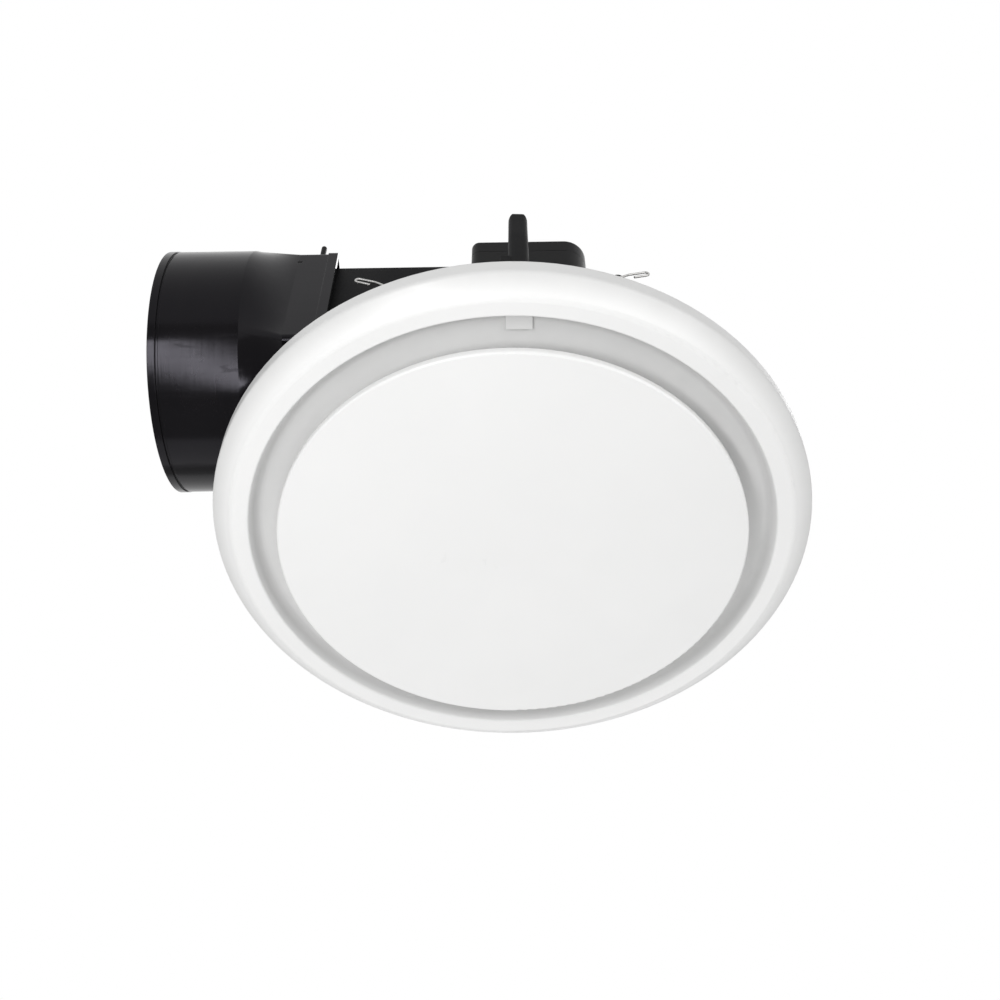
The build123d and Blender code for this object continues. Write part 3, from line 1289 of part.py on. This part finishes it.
for tower in range(TOWER_COUNT):
    with BuildPart() as clamp_dog:
        fold = math.radians(DOG_FOLD)
        with BuildSketch(tower_plane(tower, DOG_PARKED)):
            with Locations((TOWER_R, 0)):
                Circle(DOG_HUB_R)
                with Locations(Location((0, 0, 0), (0, 0, DOG_FOLD))):
                    RectangleRounded(DOG_LENGTH, DOG_W, 2.5, align=(Align.MIN, Align.CENTER))
        extrude(amount=DOG_H)
        for tooth in (11, 15, 19):
            with BuildSketch(tower_plane(tower, DOG_PARKED)):
                with Locations((TOWER_R, 0)):
                    with Locations(Location((tooth * math.cos(fold), tooth * math.sin(fold), 0), (0, 0, DOG_FOLD))):
                        Rectangle(1.2, DOG_W - 1)
            extrude(amount=-DOG_TOOTH)
        with BuildSketch(tower_plane(tower, DOG_PARKED)):
            with Locations((TOWER_R, 0)):
                Circle(CLAMP_SCREW_R + TURN_GAP)
        extrude(amount=DOG_H, mode=Mode.SUBTRACT)
    save(clamp_dog.part, "clamp_dog_" + str(tower + 1))
    with BuildPart() as clamp_nut:
        with BuildSketch(tower_plane(tower, DOG_PARKED + DOG_H)):
            with Locations((TOWER_R, 0)):
                Rectangle(NUT_SIDE, NUT_SIDE)
                Circle(CLAMP_SCREW_R + TURN_GAP, mode=Mode.SUBTRACT)
        extrude(amount=NUT_H)
    save(clamp_nut.part, "clamp_nut_" + str(tower + 1))

print("least gap between turns of a spring coil, mm:", round(coil_gap(), 3))
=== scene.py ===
import math
import bpy
import bmesh
from mathutils import Matrix, Vector

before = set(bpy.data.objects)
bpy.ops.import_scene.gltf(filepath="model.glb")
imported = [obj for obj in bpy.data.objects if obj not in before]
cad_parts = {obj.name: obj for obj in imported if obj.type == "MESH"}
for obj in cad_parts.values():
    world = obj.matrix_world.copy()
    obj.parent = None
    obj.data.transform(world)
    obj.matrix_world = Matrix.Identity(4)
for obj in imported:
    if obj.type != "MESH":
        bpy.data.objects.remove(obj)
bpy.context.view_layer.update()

MM = 0.001
FAN_X, FAN_Y = 0.012, 0.012  # the impeller's axis
SHARP_ANGLE = math.radians(32)

# Painted shade in the ring's channel, standing in for the shade under the ring's lip: radii and levels
# between which it comes in
PAINTED_SHADE_IN_R, PAINTED_SHADE_OUT_R = 0.134, 0.150
PAINTED_SHADE_LOW, PAINTED_SHADE_HIGH = -0.017, -0.0095

# Parts of a noise's range that a ramp spreads out
NARROW = (0.35, 0.65)
WIDE = (0.3, 0.7)

# Edge finding, and the most light that a surface sends back
BEVEL_SAMPLES = 4
EDGE_GAIN = 2.0
PALEST = 0.95

# Colour sockets of the Mix node, whose names are shared by its other kinds of socket
MIX_UNDER, MIX_OVER, MIX_RESULT = 6, 7, 2

# Node helpers


class Tree:
    """One material's nodes, with a short call for each kind used here."""

    def __init__(self, name):
        self.mat = bpy.data.materials.new(name)
        self.mat.use_nodes = True
        self.nodes = self.mat.node_tree.nodes
        self.links = self.mat.node_tree.links
        self.nodes.clear()
        self.out = self.nodes.new("ShaderNodeOutputMaterial")
        self.bsdf = self.nodes.new("ShaderNodeBsdfPrincipled")
        self.links.new(self.bsdf.outputs[0], self.out.inputs[0])
        self.coord = self.nodes.new("ShaderNodeTexCoord").outputs["Object"]

    def put(self, socket, value):
        """Links a socket's output, or sets a plain value."""
        if hasattr(value, "is_output"):
            self.links.new(value, socket)
        else:
            socket.default_value = value

    def mapping(self, scale=(1, 1, 1), location=(0, 0, 0), rotation=(0, 0, 0)):
        node = self.nodes.new("ShaderNodeMapping")
        self.links.new(self.coord, node.inputs["Vector"])
        node.inputs["Scale"].default_value = scale
        node.inputs["Location"].default_value = location
        node.inputs["Rotation"].default_value = rotation
        return node.outputs[0]

    def position(self, axis):
        node = self.nodes.new("ShaderNodeSeparateXYZ")
        self.links.new(self.coord, node.inputs[0])
        return node.outputs[axis]

    def radius(self):
        """Distance from the fascia's axis."""
        node = self.nodes.new("ShaderNodeVectorMath")
        node.operation = "LENGTH"
        self.links.new(self.mapping(scale=(1, 1, 0)), node.inputs[0])
        return node.outputs["Value"]

    def noise(self, scale, detail=4.0, rough=0.55, vector=None, distortion=0.0):
        node = self.nodes.new("ShaderNodeTexNoise")
        self.links.new(vector or self.coord, node.inputs["Vector"])
        node.inputs["Scale"].default_value = scale
        node.inputs["Detail"].default_value = detail
        node.inputs["Roughness"].default_value = rough
        node.inputs["Distortion"].default_value = distortion
        return node.outputs["Fac"]

    def cells(self, scale):
        node = self.nodes.new("ShaderNodeTexVoronoi")
        self.links.new(self.coord, node.inputs["Vector"])
        node.inputs["Scale"].default_value = scale
        return node.outputs["Distance"]

    def wave(self, scale, kind="BANDS", distortion=0.0, vector=None):
        """Bands or rings along the Z axis."""
        node = self.nodes.new("ShaderNodeTexWave")
        node.wave_type = kind
        node.bands_direction = "Z"
        node.rings_direction = "Z"
        self.links.new(vector or self.coord, node.inputs["Vector"])
        node.inputs["Scale"].default_value = scale
        node.inputs["Distortion"].default_value = distortion
        return node.outputs["Fac"]

    def ramp(self, value, low, high, a=0.0, b=1.0):
        """Moves value from low..high to a..b and holds it there outside."""
        node = self.nodes.new("ShaderNodeMapRange")
        self.links.new(value, node.inputs["Value"])
        node.inputs["From Min"].default_value = low
        node.inputs["From Max"].default_value = high
        node.inputs["To Min"].default_value = a
        node.inputs["To Max"].default_value = b
        return node.outputs[0]

    def math(self, kind, a, b, clamp=False):
        node = self.nodes.new("ShaderNodeMath")
        node.operation = kind
        node.use_clamp = clamp
        self.put(node.inputs[0], a)
        self.put(node.inputs[1], b)
        return node.outputs[0]

    def mix(self, mask, under, over, strength=1.0):
        """Colour that goes from under to over where the mask is 1, as far as strength."""
        if strength != 1.0:
            mask = self.math("MULTIPLY", mask, strength)
        node = self.nodes.new("ShaderNodeMix")
        node.data_type = "RGBA"
        self.put(node.inputs["Factor"], mask)
        self.put(node.inputs[MIX_UNDER], under)
        self.put(node.inputs[MIX_OVER], over)
        return node.outputs[MIX_RESULT]

    def specks(self, scale, cut, patch_scale, patch):
        """Mask of small spots that come in loose patches."""
        spot = self.ramp(self.noise(scale, 1.0), *cut)
        where = self.ramp(self.noise(patch_scale, 3.0), *patch)
        return self.math("MULTIPLY", spot, where)

    def edge(self, radius):
        """Mask that is 1 along sharp edges, from how far a rounded normal leans from the true one."""
        bevel = self.nodes.new("ShaderNodeBevel")
        bevel.samples = BEVEL_SAMPLES
        bevel.inputs["Radius"].default_value = radius
        geometry = self.nodes.new("ShaderNodeNewGeometry")
        dot = self.nodes.new("ShaderNodeVectorMath")
        dot.operation = "DOT_PRODUCT"
        self.links.new(bevel.outputs[0], dot.inputs[0])
        self.links.new(geometry.outputs["Normal"], dot.inputs[1])
        away = self.math("SUBTRACT", 1.0, dot.outputs["Value"])
        return self.math("MULTIPLY", away, EDGE_GAIN, clamp=True)

    def soft_edge(self, radius):
        """Normal that rounds sharp edges off over the radius."""
        node = self.nodes.new("ShaderNodeBevel")
        node.samples = BEVEL_SAMPLES
        node.inputs["Radius"].default_value = radius
        return node.outputs[0]

    def bump(self, height, strength, distance, normal=None):
        node = self.nodes.new("ShaderNodeBump")
        self.links.new(height, node.inputs["Height"])
        node.inputs["Strength"].default_value = strength
        node.inputs["Distance"].default_value = distance
        if normal is not None:
            self.links.new(normal, node.inputs["Normal"])
        return node.outputs[0]

    def finish(self, colour, rough, normal, **fixed):
        self.put(self.bsdf.inputs["Base Color"], colour)
        self.put(self.bsdf.inputs["Roughness"], rough)
        if normal is not None:
            self.put(self.bsdf.inputs["Normal"], normal)
        for key, value in fixed.items():
            self.bsdf.inputs[key.replace("_", " ")].default_value = value
        return self.mat


def rgb(r, g, b):
    return (r, g, b, 1.0)


def times(base, factor):
    """Base colour made lighter or darker, up to the palest."""
    return rgb(*[min(PALEST, c * factor) for c in base])


# Materials


def white_plastic(name, base, paint_channel_shade=False):
    """Satin white moulding with faint clouds, dust and hairline scuffs.

    The ring's channel also has painted shade, standing in for the shade under its lip: darker towards the
    outer wall and higher up.
    """
    t = Tree(name)
    clouds = t.ramp(t.noise(9.0, 3.0), *NARROW)
    colour = t.mix(clouds, rgb(*base), times(base, 0.984))
    dots = t.specks(1400.0, (0.765, 0.80), 31.0, (0.50, 0.60))
    colour = t.mix(dots, colour, rgb(0.45, 0.44, 0.42), 0.35)
    turned = t.mapping(scale=(1.0, 0.22, 1.0), rotation=(0, 0, 0.5))
    streak = t.ramp(t.noise(150.0, 3.0, vector=turned, distortion=1.2), 0.68, 0.72)
    patch = t.ramp(t.noise(14.0, 2.0), 0.56, 0.68)
    colour = t.mix(t.math("MULTIPLY", streak, patch), colour, rgb(0.55, 0.55, 0.55), 0.10)
    if paint_channel_shade:
        # Painted shade in the channel: grey that grows towards the outer wall and higher up, where the
        # ring's lip shades it, a little uneven
        outward = t.ramp(t.radius(), PAINTED_SHADE_IN_R, PAINTED_SHADE_OUT_R, 0.15, 1.0)
        deep = t.ramp(t.position("Z"), PAINTED_SHADE_LOW, PAINTED_SHADE_HIGH)
        uneven = t.ramp(t.noise(55.0, 4.0), *WIDE, 0.85, 1.0)
        painted_shade = t.math("MULTIPLY", t.math("MULTIPLY", outward, deep), uneven)
        colour = t.mix(painted_shade, colour, rgb(0.66, 0.66, 0.655))
    rough = t.ramp(t.noise(60.0, 4.0), *WIDE, 0.30, 0.42)
    grain = t.bump(t.noise(1100.0, 2.0), 0.05, 0.2 * MM, t.soft_edge(0.5 * MM))
    normal = t.bump(t.noise(22.0, 1.0), 0.02, 2 * MM, grain)
    return t.finish(colour, rough, normal, IOR=1.5)


def duct_plastic(name):
    """Glossy black moulding: lines round the tube, faint streaks along it, dust and rubbed edges."""
    t = Tree(name)
    rings = t.noise(1.0, 5.0, 0.7, vector=t.mapping(scale=(420.0, 6.0, 6.0)))
    along = t.noise(1.0, 4.0, 0.65, vector=t.mapping(scale=(5.0, 160.0, 160.0)))
    smear = t.noise(26.0, 4.0, 0.6, vector=t.mapping(scale=(1.0, 0.35, 0.35)))
    colour = t.mix(t.ramp(smear, 0.35, 0.7), rgb(0.0022, 0.0021, 0.0024), rgb(0.0042, 0.0038, 0.0041))
    colour = t.mix(t.edge(0.9 * MM), colour, rgb(0.040, 0.038, 0.039), 0.22)
    dust = t.specks(1500.0, (0.745, 0.79), 45.0, (0.46, 0.64))
    colour = t.mix(dust, colour, rgb(0.12, 0.115, 0.11), 0.35)
    slanted = t.mapping(scale=(0.12, 1.0, 1.0), rotation=(0, 0.35, 0.4))
    scratch = t.ramp(t.noise(95.0, 4.0, vector=slanted, distortion=2.0), 0.60, 0.63, 0.0, 0.07)
    rough = t.math("ADD", t.ramp(smear, 0.3, 0.72, 0.10, 0.17), t.ramp(along, 0.3, 0.72, -0.02, 0.04))
    rough = t.math("ADD", rough, scratch)
    wavy = t.bump(t.noise(30.0, 2.0), 0.07, 1.2 * MM, t.soft_edge(0.6 * MM))
    normal = t.bump(rings, 0.07, 0.35 * MM, t.bump(along, 0.05, 0.3 * MM, wavy))
    return t.finish(
        colour, rough, normal, IOR=1.45, Specular_IOR_Level=0.17, Specular_Tint=(0.90, 0.87, 1.0, 1.0)
    )


def matte_black(name, base, rough, grain):
    """Fine-grained black moulding with rubbed edges and dust in loose patches."""
    t = Tree(name)
    clouds = t.noise(20.0, 3.0)
    colour = t.mix(t.ramp(clouds, 0.35, 0.68), rgb(*base), times(base, 1.5))
    colour = t.mix(t.edge(0.8 * MM), colour, rgb(0.05, 0.05, 0.052), 0.3)
    dust = t.specks(1500.0, (0.74, 0.79), 38.0, (0.48, 0.64))
    colour = t.mix(dust, colour, rgb(0.13, 0.125, 0.12), 0.4)
    normal = t.bump(t.noise(grain, 3.0, 0.7), 0.3, 0.25 * MM, t.soft_edge(0.5 * MM))
    return t.finish(colour, t.ramp(clouds, *WIDE, *rough), normal, IOR=1.5, Specular_IOR_Level=0.055)


def grey_plastic(name, base):
    """Plain moulding with fine grain and paler edges."""
    t = Tree(name)
    clouds = t.noise(40.0, 3.0)
    colour = t.mix(t.ramp(clouds, *NARROW), rgb(*base), times(base, 1.18))
    colour = t.mix(t.edge(0.6 * MM), colour, times(base, 2.0), 0.35)
    normal = t.bump(t.noise(1600.0, 2.0), 0.2, 0.2 * MM, t.soft_edge(0.4 * MM))
    return t.finish(colour, t.ramp(clouds, *WIDE, 0.38, 0.5), normal, IOR=1.5)


def moulded_wheel(name):
    """Pale moulding with faint swirls round the fan's axis."""
    t = Tree(name)
    swirl = t.wave(30.0, "RINGS", 2.5, t.mapping(location=(-FAN_X, -FAN_Y, 0)))
    clouds = t.noise(28.0, 4.0)
    colour = t.mix(t.ramp(clouds, *NARROW), rgb(0.62, 0.63, 0.635), rgb(0.70, 0.71, 0.71))
    colour = t.mix(t.edge(0.6 * MM), colour, rgb(0.82, 0.83, 0.83), 0.4)
    normal = t.bump(swirl, 0.05, 0.3 * MM, t.bump(t.noise(900.0, 2.0), 0.15, 0.2 * MM))
    return t.finish(colour, t.ramp(clouds, *WIDE, 0.36, 0.5), normal, IOR=1.49)


def metal(name, base, rough, grain=900.0, depth=0.12, stretch=(1, 1, 1), stains=0.25):
    """Metal with small stains, fine grain that may run one way, and brighter edges."""
    t = Tree(name)
    stain = t.ramp(t.noise(260.0, 5.0, 0.65), 0.52, 0.70)
    dark = rgb(base[0] * 0.72, base[1] * 0.70, base[2] * 0.68)
    colour = t.mix(stain, rgb(*base), dark, stains)
    colour = t.mix(t.edge(0.4 * MM), colour, times(base, 1.25), 0.5)
    fine = t.noise(grain, 4.0, 0.6, vector=t.mapping(scale=stretch))
    normal = t.bump(fine, depth, 0.2 * MM, t.soft_edge(0.3 * MM))
    return t.finish(colour, t.ramp(t.noise(70.0, 4.0), *WIDE, *rough), normal, Metallic=1.0)


def laminated(name):
    """Stack of half-millimetre steel sheets with a little rust."""
    t = Tree(name)
    sheets = t.wave(628.0)
    clouds = t.noise(90.0, 4.0)
    colour = t.mix(t.ramp(sheets, 0.1, 0.5), rgb(0.10, 0.10, 0.105), rgb(0.33, 0.33, 0.34))
    colour = t.mix(t.ramp(clouds, 0.5, 0.75, 0.0, 0.5), colour, rgb(0.20, 0.14, 0.10))
    rough = t.ramp(clouds, *WIDE, 0.35, 0.55)
    return t.finish(colour, rough, t.bump(sheets, 0.5, 0.3 * MM), Metallic=1.0)


def wound_copper(name):
    """Varnished wire in rings and layers round the fan's axis."""
    t = Tree(name)
    turns = t.wave(480.0, "RINGS", 1.6, t.mapping(location=(-FAN_X, -FAN_Y, 0)))
    wires = t.math("MAXIMUM", turns, t.wave(480.0, "BANDS", 1.6))
    colour = t.mix(t.ramp(wires, 0.2, 0.9), rgb(0.16, 0.05, 0.02), rgb(0.62, 0.27, 0.11))
    colour = t.mix(t.ramp(t.noise(120.0, 3.0), 0.5, 0.8, 0.0, 0.4), colour, rgb(0.35, 0.12, 0.05))
    return t.finish(colour, 0.3, t.bump(wires, 0.8, 0.4 * MM), Metallic=0.85)


def foam(name):
    t = Tree(name)
    cells = t.cells(1100.0)
    colour = t.mix(t.ramp(cells, 0.1, 0.7), rgb(0.012, 0.012, 0.012), rgb(0.05, 0.05, 0.05))
    colour = t.mix(t.ramp(t.noise(60.0, 4.0), 0.5, 0.8, 0.0, 0.3), colour, rgb(0.09, 0.088, 0.085))
    return t.finish(colour, 0.92, t.bump(cells, 0.8, 0.5 * MM), IOR=1.4)


def rubber(name):
    t = Tree(name)
    clouds = t.noise(80.0, 4.0)
    colour = t.mix(t.ramp(clouds, 0.35, 0.7), rgb(0.012, 0.012, 0.012), rgb(0.03, 0.03, 0.031))
    normal = t.bump(t.noise(1300.0, 3.0), 0.4, 0.2 * MM)
    return t.finish(colour, t.ramp(clouds, *WIDE, 0.6, 0.8), normal, IOR=1.5)


WHITE = white_plastic("white_abs", (0.86, 0.86, 0.855), paint_channel_shade=True)
PANEL_WHITE = white_plastic("white_abs_panel", (0.855, 0.855, 0.85))
DUCT = duct_plastic("duct_black")
BLACK = matte_black("housing_black", (0.0042, 0.0042, 0.0047), (0.42, 0.58), 1500.0)
BOX_BLACK = matte_black("box_black", (0.0036, 0.0036, 0.0040), (0.32, 0.46), 1200.0)
GREY = grey_plastic("clamp_grey", (0.10, 0.10, 0.105))
FLAP_GREY = grey_plastic("flap_grey", (0.19, 0.19, 0.195))
TERMINAL = grey_plastic("terminal_white", (0.62, 0.61, 0.56))
CAPACITOR = grey_plastic("capacitor_grey", (0.42, 0.43, 0.45))
WHEEL = moulded_wheel("impeller_grey")
WIRE = metal("spring_wire", (0.47, 0.465, 0.455), (0.16, 0.28), 2600.0, 0.10, (0.2, 0.2, 0.2), 0.15)
ZINC = metal("zinc_plate", (0.56, 0.57, 0.585), (0.28, 0.42))
DIECAST = metal("diecast_aluminium", (0.52, 0.52, 0.535), (0.42, 0.56), 700.0, 0.35, stains=0.2)
STEEL = metal("ground_steel", (0.55, 0.55, 0.56), (0.14, 0.24), 2000.0, 0.06, (1, 1, 8), 0.1)
BRASS = metal("brass", (0.72, 0.52, 0.22), (0.22, 0.34))
BRONZE = metal("sintered_bronze", (0.42, 0.27, 0.14), (0.5, 0.65), 1800.0, 0.6, stains=0.5)
CORE = laminated("lamination")
COPPER = wound_copper("winding")
FOAM = foam("foam_black")
RUBBER = rubber("rubber_black")

FINISHES = {
    "fascia_ring": WHITE,
    "centre_panel": PANEL_WHITE,
    "body_base": BLACK,
    "scroll_housing": BLACK,
    "scroll_cover": BLACK,
    "inlet_ring": BLACK,
    "flange_gasket": FOAM,
    "flap_seal": FOAM,
    "impeller": WHEEL,
    "impeller_blades": WHEEL,
    "impeller_bush": BRASS,
    "impeller_nut": BRASS,
    "terminal_screws": BRASS,
    "motor_bell_lower": DIECAST,
    "motor_bell_upper": DIECAST,
    "bearing_lower": BRONZE,
    "bearing_upper": BRONZE,
    "shaft": STEEL,
    "flap_axle": BOX_BLACK,
    "rotor": CORE,
    "stator_core": CORE,
    "stator_windings": COPPER,
    "motor_mounts": RUBBER,
    "terminal_box": BOX_BLACK,
    "terminal_box_lid": BOX_BLACK,
    "adapter_pin": BOX_BLACK,
    "terminal_block": TERMINAL,
    "capacitor": CAPACITOR,
    "cable_gland": GREY,
    "duct_adapter": DUCT,
    "damper_flap": FLAP_GREY,
}


def finish_of(node):
    """Finish of a node by its name. The rest are zinc-plated screws, pins, nuts and brackets."""
    if node in FINISHES:
        return FINISHES[node]
    if node.startswith(("spring_arm", "spring_coil")):
        return WIRE
    if node.startswith("clamp_dog"):
        return GREY
    return ZINC


for node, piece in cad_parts.items():
    mesh = piece.data
    mesh.materials.clear()
    mesh.materials.append(finish_of(node))
    if not mesh.has_custom_normals:
        mesh.shade_smooth()
        mesh.set_sharp_from_angle(angle=SHARP_ANGLE)

# Camera, fitted to the photo's outlines

AZIMUTH = math.radians(0.39)
BELOW = math.radians(50.11)
ROLL = math.radians(-0.55)
DISTANCE = 0.7937
LENS = 47.78
SENSOR = 36.0
SHIFT_X, SHIFT_Y = -0.01269, 0.02446
CLIP_START = 0.01

back = Vector((math.sin(AZIMUTH) * math.cos(BELOW), -math.cos(AZIMUTH) * math.cos(BELOW), -math.sin(BELOW)))
level_right = (-back).cross(Vector((0, 0, 1))).normalized()
level_up = level_right.cross(-back)
right = level_right * math.cos(ROLL) + level_up * math.sin(ROLL)
up = level_up * math.cos(ROLL) - level_right * math.sin(ROLL)
spot = back * DISTANCE
turned = [[right[i], up[i], back[i], spot[i]] for i in range(3)]
camera_data = bpy.data.cameras.new("camera")
camera_data.lens = LENS
camera_data.sensor_width = SENSOR
camera_data.shift_x = SHIFT_X
camera_data.shift_y = SHIFT_Y
camera_data.clip_start = CLIP_START
camera = bpy.data.objects.new("camera", camera_data)
camera.matrix_world = Matrix(turned + [[0, 0, 0, 1]])
bpy.context.scene.collection.objects.link(camera)
bpy.context.scene.camera = camera

# Lamps


def softbox(name, place, width, height, power, aim):
    """Rectangular lamp at a place, turned to a point and hidden from the camera."""
    data = bpy.data.lights.new(name, "AREA")
    data.shape = "RECTANGLE"
    data.size = width
    data.size_y = height
    data.energy = power
    lamp = bpy.data.objects.new(name, data)
    lamp.location = place
    lamp.rotation_euler = (Vector(aim) - Vector(place)).to_track_quat("-Z", "Y").to_euler()
    lamp.visible_camera = False
    bpy.context.scene.collection.objects.link(lamp)


softbox("key_strip", (-0.375, -0.64, -0.625), 0.12, 0.80, 4.2, aim=(-0.18, -0.09, 0.03))
softbox("fill_right", (0.95, -1.0, -0.5), 0.9, 0.9, 5.2, aim=(0, 0, 0.03))
softbox("fill_below", (-0.1, 0.75, -0.85), 1.0, 1.0, 3.0, aim=(0, 0, 0))
softbox("top_back", (0.3, 0.6, 1.3), 1.0, 1.0, 6.0, aim=(0, 0, 0.08))

# World: a soft grey for the light it gives, white where the camera, a gloss or glass sees it

GIVEN_LIGHT = 0.56
SEEN_LIGHT = 1.0

world = bpy.data.worlds.new("studio")
world.use_nodes = True
bpy.context.scene.world = world
nodes, links = world.node_tree.nodes, world.node_tree.links
nodes.clear()
path = nodes.new("ShaderNodeLightPath")


def larger(a, b):
    node = nodes.new("ShaderNodeMath")
    node.operation = "MAXIMUM"
    links.new(a, node.inputs[0])
    links.new(b, node.inputs[1])
    return node.outputs[0]


def background(strength):
    node = nodes.new("ShaderNodeBackground")
    node.inputs["Color"].default_value = rgb(1, 1, 1)
    node.inputs["Strength"].default_value = strength
    return node.outputs[0]


seen = larger(path.outputs["Is Camera Ray"], path.outputs["Is Glossy Ray"])
seen = larger(seen, path.outputs["Is Transmission Ray"])
choice = nodes.new("ShaderNodeMixShader")
links.new(seen, choice.inputs[0])
links.new(background(GIVEN_LIGHT), choice.inputs[1])
links.new(background(SEEN_LIGHT), choice.inputs[2])
links.new(choice.outputs[0], nodes.new("ShaderNodeOutputWorld").inputs[0])

# Floor

FLOOR_Z = -0.98
FLOOR_HALF = 6.0
FLOOR_ROUGH = 0.8

floor_mesh = bpy.data.meshes.new("floor")
grid = bmesh.new()
bmesh.ops.create_grid(grid, x_segments=8, y_segments=8, size=FLOOR_HALF)
bmesh.ops.translate(grid, verts=grid.verts, vec=(0, 0, FLOOR_Z))
grid.to_mesh(floor_mesh)
grid.free()
floor = bpy.data.objects.new("floor", floor_mesh)
bpy.context.scene.collection.objects.link(floor)
paper = Tree("studio_floor")
clouds = paper.ramp(paper.noise(1.5, 2.0), *WIDE)
grey = paper.mix(clouds, rgb(0.80, 0.80, 0.80), rgb(0.82, 0.82, 0.82))
floor_mesh.materials.append(paper.finish(grey, FLOOR_ROUGH, None))

bpy.context.scene.view_settings.view_transform = "Standard"
